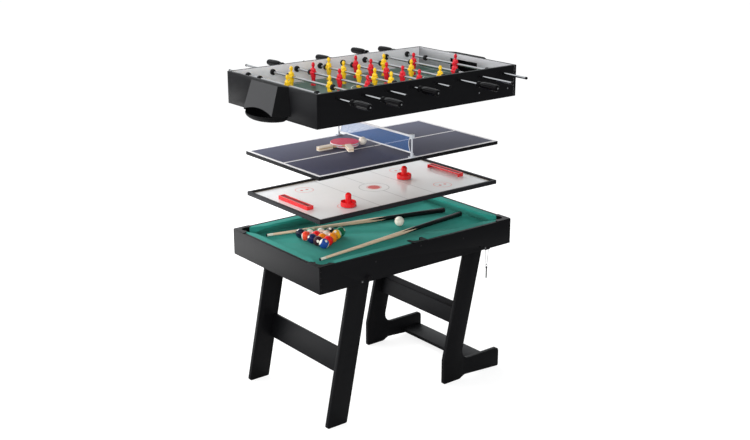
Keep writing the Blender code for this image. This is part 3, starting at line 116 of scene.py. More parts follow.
def colour(name, code, description):
    """Return a colour that a user can set."""
    return FloatVectorProperty(name=name, default=linear(code), description=description, size=3, min=0.0,
                               max=1.0, subtype="COLOR")


class GameTableSizes(bpy.types.PropertyGroup):
    """Sizes of the loose and turned pieces."""

    board_edge: size("Board edge", 0.0009, "Roundness of the foil wrapped boards' edges")
    ball: size("Pool ball", 0.050, "Width of a pool ball")
    cue: size("Cue", 1.000, "Length of a cue")
    cue_tip: size("Cue tip", 0.0065, "Half the width of a cue at its tip")
    cue_butt: size("Cue butt", 0.0140, "Half the width of a cue at its butt")
    pocket: size("Pocket", 0.033, "Half the outside width of a pocket cup")
    cushion_nose: size("Cushion nose", 0.0045, "Roundness of the cushions' top edge")
    cord: size("Lanyard cord", 0.0020, "Width of the lanyard's cord")
    pusher: size("Pusher", 0.038, "Half the width of a pusher")
    rod: size("Rod", 0.006, "Half the width of a football rod")
    grip: size("Handle", 0.018, "Half the width of a rod's handle")
    grip_length: size("Handle length", 0.132, "Length of a rod's handle")
    flutes: IntProperty(name="Handle flutes", default=12, min=3, max=40, description="Ridges round a handle")
    net_wave: size("Net wave", 0.0012, "How far the net bows between its tapes")
    line: size("Painted line", 0.0040, "Width of the white lines on the football field")


class GameTableColours(bpy.types.PropertyGroup):
    """Colours of the finishes."""

    board: colour("Board foil", "0f0f11", "Foil on the table's boards")
    inside: colour("Inner foil", "f4f4f7", "Foil on the inside of the football box")
    cloth: colour("Cloth", "308a7e", "Pool cloth")
    plastic: colour("Black plastic", "111012", "Pockets, knobs, bushes, handles and goal hoods")
    ice: colour("Hockey field", "e8ecef", "Glossy hockey field")
    red: colour("Red plastic", "e01018", "Pushers and hockey goals")
    slate: colour("Tennis paint", "53566b", "Painted top of the tennis board")
    net: colour("Net", "2b5f9b", "Net thread")
    rubber: colour("Paddle rubber", "f0486c", "Pimpled rubber of the paddles")
    field: colour("Football field", "365f50", "Printed football field")
    yellow: colour("Yellow team", "fbcb22", "Yellow football men")
    team_red: colour("Red team", "d8162a", "Red football men")
    ferrule: colour("Cream resin", "fbf0e2", "Cue ball and ferrules")
    maple: colour("Maple", "f7d2b4", "Cue shafts")


def sizes():
    """Return the sizes of this scene."""
    return bpy.context.scene.game_table_sizes


def colours():
    """Return the colours of this scene."""
    return bpy.context.scene.game_table_colours


def dim(shade, share):
    """Return a colour at a share of its brightness."""
    return tuple(min(1.0, value * share) for value in shade)


def add(tree, kind, inputs=None, **settings):
    """Add a shader node with its settings and what goes into its sockets."""
    item = tree.nodes.new(kind)
    for field, value in settings.items():
        setattr(item, field, value)
    for socket, value in (inputs or {}).items():
        if isinstance(value, bpy.types.NodeSocket):
            tree.links.new(value, item.inputs[socket])
        else:
            item.inputs[socket].default_value = value
    return item


def start(name):
    """Return a new material with an empty tree."""
    material = bpy.data.materials.new(name)
    material.use_nodes = True
    material.node_tree.nodes.clear()
    return material, material.node_tree


def close(tree, shader):
    """Join the last shader to the output."""
    add(tree, "ShaderNodeOutputMaterial", {"Surface": shader.outputs[0]})


def grain(tree, grain_mm, stretch=(1.0, 1.0, 1.0), detail=3.0):
    """Return a noise whose spots are so many millimetres wide, spread over nought to one."""
    place = add(tree, "ShaderNodeTexCoord").outputs["Object"]
    scale = [1000.0 / grain_mm * share for share in stretch]
    place = add(tree, "ShaderNodeMapping", {"Vector": place, "Scale": scale}).outputs["Vector"]
    noise = add(tree, "ShaderNodeTexNoise", {"Vector": place, "Scale": 1.0, "Detail": detail}).outputs[0]
    return add(tree, "ShaderNodeMapRange", {"Value": noise, "From Min": 0.32, "From Max": 0.68}).outputs[0]


def finish(name, low, high, grain_mm, rough, relief_mm=0.0, stretch=(1.0, 1.0, 1.0), **shader):
    """Return a material whose colour, gloss and relief follow one grain."""
    if name in bpy.data.materials:
        return bpy.data.materials[name]
    material, tree = start(name)
    fine = grain(tree, grain_mm, stretch)
    broad = grain(tree, grain_mm * 17.0, stretch, 1.0)
    both = add(tree, "ShaderNodeMix", {0: 0.35, 2: fine, 3: broad}, data_type="FLOAT").outputs[0]
    shade = add(tree, "ShaderNodeMix", {0: both, 6: (*low, 1.0), 7: (*high, 1.0)},
                data_type="RGBA").outputs[2]
    gloss = add(tree, "ShaderNodeMapRange", {"Value": both, "To Min": rough * 0.94, "To Max": rough * 1.06})
    sockets = {"Base Color": shade, "Roughness": gloss.outputs[0]}
    if relief_mm:
        bump = add(tree, "ShaderNodeBump", {"Height": fine, "Distance": relief_mm / 1000.0})
        sockets["Normal"] = bump.outputs[0]
    sockets.update({socket.replace("_", " "): value for socket, value in shader.items()})
    close(tree, add(tree, "ShaderNodeBsdfPrincipled", sockets))
    return material


def board_foil(share=1.0):
    """Fibreboard wrapped in black foil, pressed with fine pores: a soft sheen broken into short streaks. A
    share above one makes a lighter copy of the foil as painted light.
    """
    shade = dim(colours().board, share)
    name = f"fibreboard_wrapped_in_black_foil_{round(share * 100)}"
    return finish(name, dim(shade, 0.8), dim(shade, 1.3), 1.2, 0.48, 0.02, (0.12, 1.0, 1.0),
                  Specular_IOR_Level=0.18)


def inner_foil(share=1.0):
    """Fibreboard with a pale grey printed foil: nearly even, with faint streaks along the wall. A share below
    one makes a darker copy of the foil as painted shade.
    """
    shade = dim(colours().inside, share)
    name = f"fibreboard_with_grey_printed_foil_{round(share * 100)}"
    return finish(name, dim(shade, 0.93), dim(shade, 1.0), 1.6, 0.42, 0.01, (0.05, 1.0, 1.0))


def raw_board():
    """Raw fibreboard, sawn and left bare: a warm brown felt of tiny fibres, quite dull."""
    return finish("bare_fibreboard_sawn", linear("8c6d4e"), linear("a5855f"), 0.9, 0.85, 0.03)


def weave(tree, pitch_mm):
    """Return the height of a plain weave whose threads lie so many millimetres apart."""
    place = add(tree, "ShaderNodeTexCoord").outputs["Object"]
    wave = {"Vector": place, "Scale": WAVE_REPEAT_MM / pitch_mm, "Distortion": 0.3, "Detail Scale": 3.0}
    waves = [add(tree, "ShaderNodeTexWave", wave, bands_direction=way).outputs[1] for way in ("X", "Y", "Z")]
    pair = add(tree, "ShaderNodeMath", {0: waves[0], 1: waves[1]}, operation="MULTIPLY").outputs[0]
    return add(tree, "ShaderNodeMath", {0: pair, 1: waves[2]}, operation="MAXIMUM").outputs[0]


def pool_cloth():
    """Wool and nylon cloth, woven and brushed to a nap: flat green with a soft bloom and faint mottling."""
    name = "pool_cloth_woven_and_brushed"
    if name in bpy.data.materials:
        return bpy.data.materials[name]
    material, tree = start(name)
    shade = colours().cloth
    nap = grain(tree, 2.2)
    cloud = grain(tree, 60.0, detail=1.0)
    # The real threads lie 0.5 mm apart, too fine to show, so they are drawn 1.4 mm apart.
    threads = weave(tree, 1.4)
    both = add(tree, "ShaderNodeMix", {0: 0.4, 2: nap, 3: cloud}, data_type="FLOAT").outputs[0]
    tone = add(tree, "ShaderNodeMix", {0: both, 6: (*dim(shade, 0.90), 1.0), 7: (*dim(shade, 1.10), 1.0)},
               data_type="RGBA").outputs[2]
    bump = add(tree, "ShaderNodeBump", {"Height": threads, "Distance": 0.00008, "Strength": 0.5})
    close(tree, add(tree, "ShaderNodeBsdfPrincipled", {
        "Base Color": tone, "Roughness": 0.92, "Sheen Weight": 0.05, "Sheen Roughness": 0.5,
        "Specular IOR Level": 0.08, "Normal": bump.outputs[0]}))
    return material


def gloss_plastic():
    """Black polystyrene, moulded and polished: deep black with a sharp bright line of gloss."""
    shade = colours().plastic
    return finish("polystyrene_moulded_black", dim(shade, 0.4), dim(shade, 0.7), 0.8, 0.22, 0.004,
                  Specular_IOR_Level=0.09)


def hood_front_lit_plastic():
    """Black polystyrene, vacuum formed: a lighter, glossier copy of the hoods' black that paints light on
    their front panels, whose slopes catch the sky as a grey sheen.
    """
    shade = dim(colours().plastic, 1.4)
    return finish("polystyrene_vacuum_formed_black", dim(shade, 0.85), dim(shade, 1.2), 0.6, 0.36, 0.02,
                  Specular_IOR_Level=0.8)


def hood_side_shade_plastic():
    """Black polypropylene: a darker, duller copy of the hoods' black that paints shade on their sides and
    bowls, which stay near black.
    """
    return finish("polypropylene_textured_black", linear("0b0b0c"), linear("121213"), 0.9, 0.62, 0.03,
                  Specular_IOR_Level=0.10)


def matt_plastic():
    """Black polypropylene, moulded with a fine spark finish: charcoal black with a broad dull highlight."""
    shade = colours().plastic
    return finish("polypropylene_moulded_black", dim(shade, 0.8), dim(shade, 1.4), 0.5, 0.42, 0.02,
                  Specular_IOR_Level=0.16)


def dark_rubber():
    """Black rubber, pressed: nearly no gloss, with a little grey dust in its pores."""
    return finish("rubber_pressed_black", linear("131313"), linear("232223"), 0.6, 0.68, 0.03)


def chrome():
    """Steel tube, chrome plated and polished: a mirror with faint rings round the rod."""
    return finish("steel_tube_chrome_plated", linear("abacae"), linear("babbbc"), 0.7, 0.07, 0.0,
                  (0.1, 1.0, 0.1), Metallic=1.0)


def zinc():
    """Steel, zinc plated: cool grey metal with soft crystals and a half dull gloss."""
    return finish("steel_zinc_plated", linear("a9abae"), linear("c6c7ca"), 0.9, 0.32, 0.006, Metallic=1.0)


def dark_steel():
    """Steel pin, blackened: dark grey metal, lighter where it has rubbed."""
    return finish("steel_blackened", linear("242427"), linear("464649"), 0.8, 0.38, 0.006, Metallic=1.0)


def red_plastic():
    """Red polystyrene, moulded and polished: saturated red with a wet shine."""
    shade = colours().red
    return finish("polystyrene_moulded_red", dim(shade, 0.94), dim(shade, 1.04), 1.0, 0.16, 0.003,
                  Coat_Weight=0.4)


def hockey_white():
    """White melamine on hardboard, pressed and polished: cool white with a clear, slightly wavy shine."""
    shade = colours().ice
    return finish("melamine_pressed_white", dim(shade, 0.965), dim(shade, 1.0), 3.0, 0.16, 0.004,
                  Specular_IOR_Level=0.35)


def ink(name, code, rough=0.4):
    """Printing ink, laid on by screen: an even film with a faint speckle. The same finish also lays the
    painted shade in the hockey goals' grooves and the painted light round the hockey field.
    """
    return finish(name, dim(linear(code), 0.94), dim(linear(code), 1.03), 0.8, rough, 0.003)


def slate_paint():
    """Fibreboard painted slate by roller: an even matt film with a fine orange peel."""
    shade = colours().slate
    return finish("fibreboard_painted_slate", dim(shade, 0.93), dim(shade, 1.06), 1.4, 0.56, 0.03,
                  Specular_IOR_Level=0.2)


def tape_cloth():
    """White cotton tape, woven: matt, with a fine rib."""
    return finish("cotton_tape_woven", linear("d6d9dd"), linear("ececee"), 0.8, 0.85, 0.05)


def pale_plastic():
    """Pale grey polypropylene, moulded: slightly waxy, with a soft gloss."""
    return finish("polypropylene_moulded_pale_grey", linear("c3c8d0"), linear("d3d7dd"), 0.9, 0.36, 0.01,
                  Subsurface_Weight=0.08, Subsurface_Radius=(0.004, 0.004, 0.004), Subsurface_Scale=0.2)


def net_mesh():
    """Blue nylon net, knitted: fine square mesh that lets the field behind show through."""
    name = "nylon_net_knitted"
    if name in bpy.data.materials:
        return bpy.data.materials[name]
    material, tree = start(name)
    place = add(tree, "ShaderNodeTexCoord").outputs["Object"]
    # The real mesh is 2 mm, too fine to show, so its threads are drawn 4 mm apart.
    wave = {"Vector": place, "Scale": WAVE_REPEAT_MM / 4.0}
    ways = [add(tree, "ShaderNodeTexWave", wave, bands_direction=way).outputs[1] for way in ("Y", "Z")]
    threads = add(tree, "ShaderNodeMath", {0: ways[0], 1: ways[1]}, operation="MAXIMUM").outputs[0]
    cover = add(tree, "ShaderNodeMapRange", {"Value": threads, "From Min": 0.55, "From Max": 0.85,
                                             "To Min": 0.26, "To Max": 0.72}).outputs[0]
    shade = colours().net
    tone = add(tree, "ShaderNodeMix", {0: threads, 6: (*dim(shade, 0.9), 1.0), 7: (*dim(shade, 1.3), 1.0)},
               data_type="RGBA").outputs[2]
    close(tree, add(tree, "ShaderNodeBsdfPrincipled", {"Base Color": tone, "Roughness": 0.6, "Alpha": cover,
                                                       "Sheen Weight": 0.2}))
    return material


def paddle_rubber():
    """Red rubber with moulded pimples: matt red dotted with small round studs."""
    name = "rubber_moulded_with_pimples"
    if name in bpy.data.materials:
        return bpy.data.materials[name]
    material, tree = start(name)
    shade = colours().rubber
    place = add(tree, "ShaderNodeTexCoord").outputs["Object"]
    # The real pimples stand 2 mm apart.
    dots = add(tree, "ShaderNodeTexVoronoi", {"Vector": place, "Scale": 500.0, "Randomness": 0.12}).outputs[0]
    studs = add(tree, "ShaderNodeMapRange", {"Value": dots, "From Min": 0.25, "From Max": 0.50,
                                             "To Min": 1.0, "To Max": 0.0}).outputs[0]
    # The rubber is darker between the studs than on their tops: painted shade in the hollows.
    tone = add(tree, "ShaderNodeMix", {0: studs, 6: (*dim(shade, 0.84), 1.0), 7: (*dim(shade, 1.04), 1.0)},
               data_type="RGBA").outputs[2]
    bump = add(tree, "ShaderNodeBump", {"Height": studs, "Distance": 0.0004, "Strength": 0.6})
    close(tree, add(tree, "ShaderNodeBsdfPrincipled", {"Base Color": tone, "Roughness": 0.55,
                                                       "Normal": bump.outputs[0]}))
    return material


def plywood_edge():
    """Poplar plywood, sawn: pale plies with darker glue lines between them."""
    name = "poplar_plywood_sawn"
    if name in bpy.data.materials:
        return bpy.data.materials[name]
    material, tree = start(name)
    place = add(tree, "ShaderNodeTexCoord").outputs["Object"]
    # The glue lines lie 1.2 mm apart, as in the real ply.
    plies = add(tree, "ShaderNodeTexWave", {"Vector": place, "Scale": WAVE_REPEAT_MM / 1.2},
                bands_direction="Z").outputs[1]
    fibres = grain(tree, 1.0, (0.2, 0.2, 1.0))
    both = add(tree, "ShaderNodeMix", {0: 0.6, 2: fibres, 3: plies}, data_type="FLOAT").outputs[0]
    tone = add(tree, "ShaderNodeMix", {0: both, 6: (*linear("b98f63"), 1.0), 7: (*linear("e6cda6"), 1.0)},
               data_type="RGBA").outputs[2]
    close(tree, add(tree, "ShaderNodeBsdfPrincipled", {"Base Color": tone, "Roughness": 0.55}))
    return material


def maple():
    """Maple, turned and lacquered: pale peach wood with long fine grain under a satin coat."""
    shade = colours().maple
    return finish("maple_turned_and_lacquered", dim(shade, 0.84), dim(shade, 1.08), 1.5, 0.30, 0.004,
                  (1.0, 1.0, 0.04), Coat_Weight=0.5, Coat_Roughness=0.12)


def black_lacquer():
    """Wood sprayed with black lacquer: deep gloss with a sharp white highlight."""
    return finish("wood_lacquered_black", linear("060506"), linear("0e0c0e"), 1.5, 0.14, 0.0,
                  Specular_IOR_Level=0.3, Coat_Weight=0.25, Coat_Roughness=0.05)


def cream_resin():
    """Cream resin, cast and polished: warm white, smooth and slightly deep."""
    shade = colours().ferrule
    return finish("resin_cast_cream", dim(shade, 0.96), dim(shade, 1.0), 4.0, 0.14, 0.0, Coat_Weight=0.3)


def celluloid():
    """Celluloid, moulded and tumbled: matt warm white with a faint cloud."""
    return finish("celluloid_tumbled_cream", linear("f3ebdd"), linear("faf4e9"), 3.0, 0.48, 0.004)


def team_plastic(red):
    """Coloured polystyrene, moulded: bright, with a soft gloss on its rounded forms."""
    shade = colours().team_red if red else colours().yellow
    name = "polystyrene_moulded_team_red" if red else "polystyrene_moulded_team_yellow"
    return finish(name, dim(shade, 0.92), dim(shade, 1.05), 0.9, 0.30, 0.005)


def field_print():
    """Hardboard with a printed green film: dark green with a fine speckle and a satin shine."""
    shade = colours().field
    return finish("hardboard_with_green_print", dim(shade, 0.86), dim(shade, 1.12), 1.0, 0.38, 0.008)


def braid():
    """Black nylon cord, braided: fine crossing strands with a dull shine."""
    return finish("nylon_cord_braided", linear("08080a"), linear("161618"), 0.5, 0.70, 0.05, (1.0, 1.0, 0.5),
                  Specular_IOR_Level=0.2)


def ball_resin(number, code, striped):
    """Phenolic resin, cast and polished: glassy, with two white discs and, if striped, two white caps."""
    name = f"phenolic_resin_ball_{number}"
    if name in bpy.data.materials:
        return bpy.data.materials[name]
    material, tree = start(name)
    half = sizes().ball / 2
    place = add(tree, "ShaderNodeTexCoord").outputs["Object"]
    parts = add(tree, "ShaderNodeSeparateXYZ", {0: place}).outputs
    along = [add(tree, "ShaderNodeMath", {0: part}, operation="ABSOLUTE").outputs[0] for part in parts]
    white = add(tree, "ShaderNodeMapRange", {"Value": along[0], "From Min": half * 0.95,
                                             "From Max": half * 0.955}).outputs[0]
    if striped:
        cap = add(tree, "ShaderNodeMapRange", {"Value": along[2], "From Min": half * 0.70,
                                               "From Max": half * 0.72}).outputs[0]
        white = add(tree, "ShaderNodeMath", {0: white, 1: cap}, operation="MAXIMUM").outputs[0]
    cloud = grain(tree, 9.0)
    own = linear(code)
    paint = add(tree, "ShaderNodeMix", {0: cloud, 6: (*dim(own, 0.95), 1.0), 7: (*own, 1.0)},
                data_type="RGBA").outputs[2]
    tone = add(tree, "ShaderNodeMix", {0: white, 6: paint, 7: (*linear("efe6da"), 1.0)},
               data_type="RGBA").outputs[2]
    close(tree, add(tree, "ShaderNodeBsdfPrincipled", {
        "Base Color": tone, "Roughness": 0.10, "Specular IOR Level": 0.35, "Coat Weight": 0.4,
        "Coat Roughness": 0.04}))
    return material


def on_plane(u, v, w, plane):
    """Place a point of a flat drawing, w above its plane."""
    return {"XY": Vector((u, v, w)), "XZ": Vector((u, w, v)), "YZ": Vector((w, u, v))}[plane]


def rectangle(u_low, u_high, v_low, v_high):
    """Return the four corners of a rectangle."""
    return [(u_low, v_low), (u_high, v_low), (u_high, v_high), (u_low, v_high)]


def arc(u, v, radius, begin, end, steps):
    """Return points along an arc about a point, from one angle to another, both ends included."""
    angles = [begin + (end - begin) * step / steps for step in range(steps + 1)]
    return [(u + radius * math.cos(angle), v + radius * math.sin(angle)) for angle in angles]


def circle(u, v, radius, facets):
    """Return a regular outline about a point."""
    return arc(u, v, radius, 0.0, math.tau, facets)[:-1]


def rounded(u_low, u_high, v_low, v_high, radius):
    """Return a rectangle with round corners."""
    outline = []
    for turn, (u, v) in enumerate(((u_high - radius, v_high - radius), (u_low + radius, v_high - radius),
                                   (u_low + radius, v_low + radius), (u_high - radius, v_low + radius))):
        outline += arc(u, v, radius, math.pi / 2 * turn, math.pi / 2 * (turn + 1), 6)
    return outline


def plate(shape, outline, low, high, plane="XY", holes=(), slot=0):
    """Add a flat board from its outline and its holes."""
    edges = []
    rims = []
    for loop in (outline, *holes):
        rim = [shape.verts.new(on_plane(u, v, low, plane)) for u, v in loop]
        edges += [shape.edges.new((rim[index - 1], rim[index])) for index in range(len(rim))]
        rims.append(rim)
    filled = bmesh.ops.triangle_fill(shape, use_beauty=True, use_dissolve=False, edges=edges)
    faces = [part for part in filled["geom"] if isinstance(part, bmesh.types.BMFace)]
    lift = on_plane(0.0, 0.0, high - low, plane)
    upper = {vertex: shape.verts.new(vertex.co + lift) for rim in rims for vertex in rim}
    faces += [shape.faces.new([upper[vertex] for vertex in reversed(face.verts)]) for face in list(faces)]
    for rim in rims:
        faces += [shape.faces.new((rim[index - 1], vertex, upper[vertex], upper[rim[index - 1]]))
                  for index, vertex in enumerate(rim)]
    for face in faces:
        face.material_index = slot


def block(shape, low, high):
    """Add a box between two corners."""
    plate(shape, rectangle(low[0], high[0], low[1], high[1]), low[2], high[2])


def loft(shape, rings, closed=False):
    """Join rings of equal count, and cap both ends unless the loft closes on itself."""
    loops = [[shape.verts.new(point) for point in ring] for ring in rings]
    for first, second in list(zip(loops, loops[1:])) + ([(loops[-1], loops[0])] if closed else []):
        for index in range(len(first)):
            shape.faces.new((first[index - 1], first[index], second[index], second[index - 1]))
    if not closed:
        shape.faces.new(loops[0])
        shape.faces.new(loops[-1])


def turning(shape, profile, facets, centre=(0.0, 0.0, 0.0), axis="Z", ring=False, slot=0, wobble=None):
    """Turn a profile of (radius, height) about an axis; wobble changes a radius by angle and height."""
    loops = []
    for radius, height in profile:
        loop = []
        for step in range(facets if radius > 0.0 else 1):
            angle = math.tau * step / facets
            reach = radius * (wobble(angle, height) if wobble else 1.0)
            u = reach * math.cos(angle)
            v = reach * math.sin(angle)
            local = {"Z": (u, v, height), "Y": (u, height, v), "X": (height, u, v)}[axis]
            loop.append(shape.verts.new(Vector(centre) + Vector(local)))
        loops.append(loop)
    pairs = list(zip(loops, loops[1:])) + ([(loops[-1], loops[0])] if ring else [])
    faces = []
    for first, second in pairs:
        for index in range(facets):
            corners = [first[index - 1], first[index]] if len(first) > 1 else [first[0]]
            corners += [second[index], second[index - 1]] if len(second) > 1 else [second[0]]
            faces.append(shape.faces.new(corners))
    if not ring:
        faces += [shape.faces.new(loop) for loop in (loops[0], loops[-1]) if len(loop) > 1]
    for face in faces:
        face.material_index = slot


def turn_across(shape, profile, side, facets, centre, **more):
    """Turn a profile of (radius, distance from the table's middle) about Y, towards the front or the back."""
    turning(shape, [(radius, side * reach) for radius, reach in profile], facets, centre, "Y", **more)


def mesh_of(name, shape):
    """Turn a bmesh into a mesh whose faces look outwards."""
    bmesh.ops.recalc_face_normals(shape, faces=shape.faces)
    mesh = bpy.data.meshes.new(name)
    shape.to_mesh(mesh)
    shape.free()
    return mesh


def rounded_profile(points, radius, steps=4):
    """Return a profile whose corners are filleted, where both its neighbours leave room."""
    result = [points[0]]
    for before, here, after in zip(points, points[1:], points[2:]):
        here = Vector(here)
        back = Vector(before) - here
        ahead = Vector(after) - here
        reach = min(radius, back.length * 0.48, ahead.length * 0.48)
        if reach <= 0.0 or back.angle(ahead, 0.0) > 3.0:
            result.append(tuple(here))
            continue
        start_point = here + back.normalized() * reach
        end_point = here + ahead.normalized() * reach
        for step in range(steps + 1):
            t = step / steps
            result.append(tuple(start_point * (1 - t) ** 2 + here * (2 * t * (1 - t)) + end_point * t ** 2))
    return result + [points[-1]]


def cut(body, tool):
    """Return body after tool is taken from it by an exact Boolean."""
    items = []
    for shape in (body, tool):
        item = bpy.data.objects.new("boolean", mesh_of("boolean", shape))
        bpy.context.scene.collection.objects.link(item)
        items.append(item)
    modifier = items[0].modifiers.new("boolean", "BOOLEAN")
    modifier.solver = "EXACT"
    modifier.operation = "DIFFERENCE"
    modifier.object = items[1]
    result = bmesh.new()
    result.from_mesh(items[0].evaluated_get(bpy.context.evaluated_depsgraph_get()).to_mesh())
    for item in items:
        mesh = item.data
        bpy.data.objects.remove(item, do_unlink=True)
        bpy.data.meshes.remove(mesh)
    return result


def copy_of(node):
    """Return a CAD node's shape as a bmesh with its flat faces whole again."""
    shape = bmesh.new()
    shape.from_mesh(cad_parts[node].data)
    bmesh.ops.transform(shape, matrix=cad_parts[node].matrix_world, verts=shape.verts)
    bmesh.ops.remove_doubles(shape, verts=shape.verts, dist=0.00002)
    bmesh.ops.dissolve_limit(shape, angle_limit=0.01, verts=shape.verts, edges=shape.edges)
    return shape


def without(shape, test):
    """Take away the faces that a test picks by their middle, and close the holes they leave."""
    gone = [face for face in shape.faces if test(face.calc_center_median())]
    bmesh.ops.delete(shape, geom=gone, context="FACES")
    bmesh.ops.holes_fill(shape, edges=[edge for edge in shape.edges if edge.is_boundary], sides=0)
    return shape


def piece(name, shape, materials, body, nodes=(), bevel=0.0, angle=35.0, segments=2, matrix=None):
    """Turn a bmesh into a piece that rides on a body and stands for its nodes."""
    return mesh_piece(name, mesh_of(name, shape), materials, body, nodes, bevel, angle, segments, matrix)


def mesh_piece(name, mesh, materials, body, nodes=(), bevel=0.0, angle=35.0, segments=2, matrix=None):
    """Make an object of a mesh, which may be shared, with its finish, its edges and its body."""
    if not mesh.materials:
        for material in materials:
            mesh.materials.append(material)
        mesh.shade_smooth()
        if not bevel:
            mesh.set_sharp_from_angle(angle=math.radians(angle))
    item = bpy.data.objects.new(name, mesh)
    bpy.context.scene.collection.objects.link(item)
    if matrix is not None:
        item.matrix_world = matrix
    if bevel:
        edge = item.modifiers.new("Edges", "BEVEL")
        edge.width = bevel
        edge.segments = segments
        edge.limit_method = "ANGLE"
        edge.angle_limit = math.radians(angle)
        edge.harden_normals = True
    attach(item, body)
    if nodes:
        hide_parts(*nodes)
    return item


def paint(shape, slot, test):
    """Give the faces that a test picks another of the piece's materials."""
    for face in shape.faces:
        if test(face.calc_center_median(), face.normal):
            face.material_index = slot


def pocket_places():
    """Return each pocket's middle and the way that it faces: (x, y, side_x, side_y)."""
    reach_x, reach_y = INNER_X - POCKET_INSET, INNER_Y - POCKET_INSET
    return [(side_x * reach_x, side_y * reach_y, side_x, side_y) for side_y in SIDES for side_x in (-1, 0, 1)]


def smooth_points(route, step):
    """Return points along a smooth curve through the route, about one step apart."""
    points = [route[0]]
    for index in range(len(route) - 1):
        p1, p2 = route[index], route[index + 1]
        p0 = route[index - 1] if index else p1
        p3 = route[index + 2] if index + 2 < len(route) else p2
        count = max(1, round((p2 - p1).length / step))
        for part in range(1, count + 1):
            t = part / count
            points.append(0.5 * (2 * p1 + (p2 - p0) * t + (2 * p0 - 5 * p1 + 4 * p2 - p3) * t ** 2
                                 + (3 * p1 - p0 - 3 * p2 + p3) * t ** 3))
    return points


def tube(name, points, radius, material, body):
    """Return a round bar along points, as one open curve."""
    curve = bpy.data.curves.new(name, "CURVE")
    curve.dimensions = "3D"
    curve.bevel_depth = radius
    curve.bevel_resolution = 4
    curve.use_fill_caps = True
    spline = curve.splines.new("POLY")
    spline.points.add(len(points) - 1)
    for target, point in zip(spline.points, points):
        target.co = (*point, 1.0)
    spline.use_smooth = True
    curve.materials.append(material)
    item = bpy.data.objects.new(name, curve)
    bpy.context.scene.collection.objects.link(item)
    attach(item, body)
    return item


def screw_head(shape, place, radius, proud, side):
    """Add a low domed screw head with a sunk middle, standing out from a front or a back."""
    profile = [(0.0, 0.0), (radius, 0.0), (radius, proud * 0.35), (radius * 0.72, proud),
               (radius * 0.34, proud), (radius * 0.26, proud * 0.5), (0.0, proud * 0.5)]
    turn_across(shape, profile, side, 16, place)


class GAMETABLE_OT_camera(bpy.types.Operator):
    """Set the camera where the photograph was taken from"""

    bl_idname = "game_table.camera"
    bl_label = "Camera"

    def execute(self, context):
        data = bpy.data.cameras.new("camera")
        data.sensor_width = 36.0
        data.lens = 55.44
        data.clip_end = 200.0
        item = bpy.data.objects.new("camera", data)
        # Solved from the edges of the pool table in the photograph, as are the place and the lens
        down, aside = 17.57, 38.31
        item.location = (-3.42505, -4.34355, 2.59626)
        item.rotation_euler = (math.radians(90.0 - down), 0.0, -math.radians(aside))
        context.scene.collection.objects.link(item)
        context.scene.camera = item
        return {"FINISHED"}


class GAMETABLE_OT_lanyard(bpy.types.Operator):
    """Hang the lock pin on its cord loop under the front apron"""

    bl_idname = "game_table.lanyard"
    bl_label = "Lanyard and pin"

    def execute(self, context):
        middle_x, y, top = 0.446, -0.3575, 0.6904
        bend_radius, drop = 0.0045, 0.0825
        half = sizes().cord / 2
        strand = [(0.0095, 0.0), (0.0095, -0.006), (0.0082, -0.025), (0.0063, -0.050),
                  (bend_radius + 0.0002, -0.070)]
        across = strand + arc(0.0, bend_radius - drop, bend_radius, 0.0, -math.pi, 8) \
            + [(-u, v) for u, v in reversed(strand)]
        route = smooth_points([Vector((middle_x + u, y, top + v)) for u, v in across], 0.002)
        cord = tube("lanyard_cord", route, half, braid(), "table")
        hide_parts("lanyard")
        fitting = bmesh.new()
        low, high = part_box("lanyard_fitting")
        block(fitting, low, high)
        mouth = [(0.0, -0.0001), (0.0028, -0.0001), (0.0028, 0.001), (0.0, 0.001)]
        for side in SIDES:
            turning(fitting, mouth, 16, (middle_x + side * 0.0025, y, low[2]), slot=1)
        piece("lanyard_clip", fitting, [matt_plastic(), dark_steel()], "table", ["lanyard_fitting"], 0.001)
        pin = bmesh.new()
        eye, wire, sink = 0.006, 0.0009, 0.0012
        eye_z = top - drop + half + GAP + wire - eye
        turning(pin, circle(eye, 0.0, wire, 10), 32, (middle_x, y, eye_z), "X", ring=True)
        profile = [(0.0, 0.0), (0.0032, 0.0), (0.0048, -0.0012), (0.0048, -0.007), (0.0032, -0.0072),
                   (0.0032, -0.059), (0.0016, -0.063), (0.0, -0.063)]
        turning(pin, rounded_profile(profile, 0.0006), 28, (middle_x, y, eye_z - eye + sink - wire))
        piece("lock_pin_turned", pin, [dark_steel()], "table", ["lock_pin"])
        return {"FINISHED"}


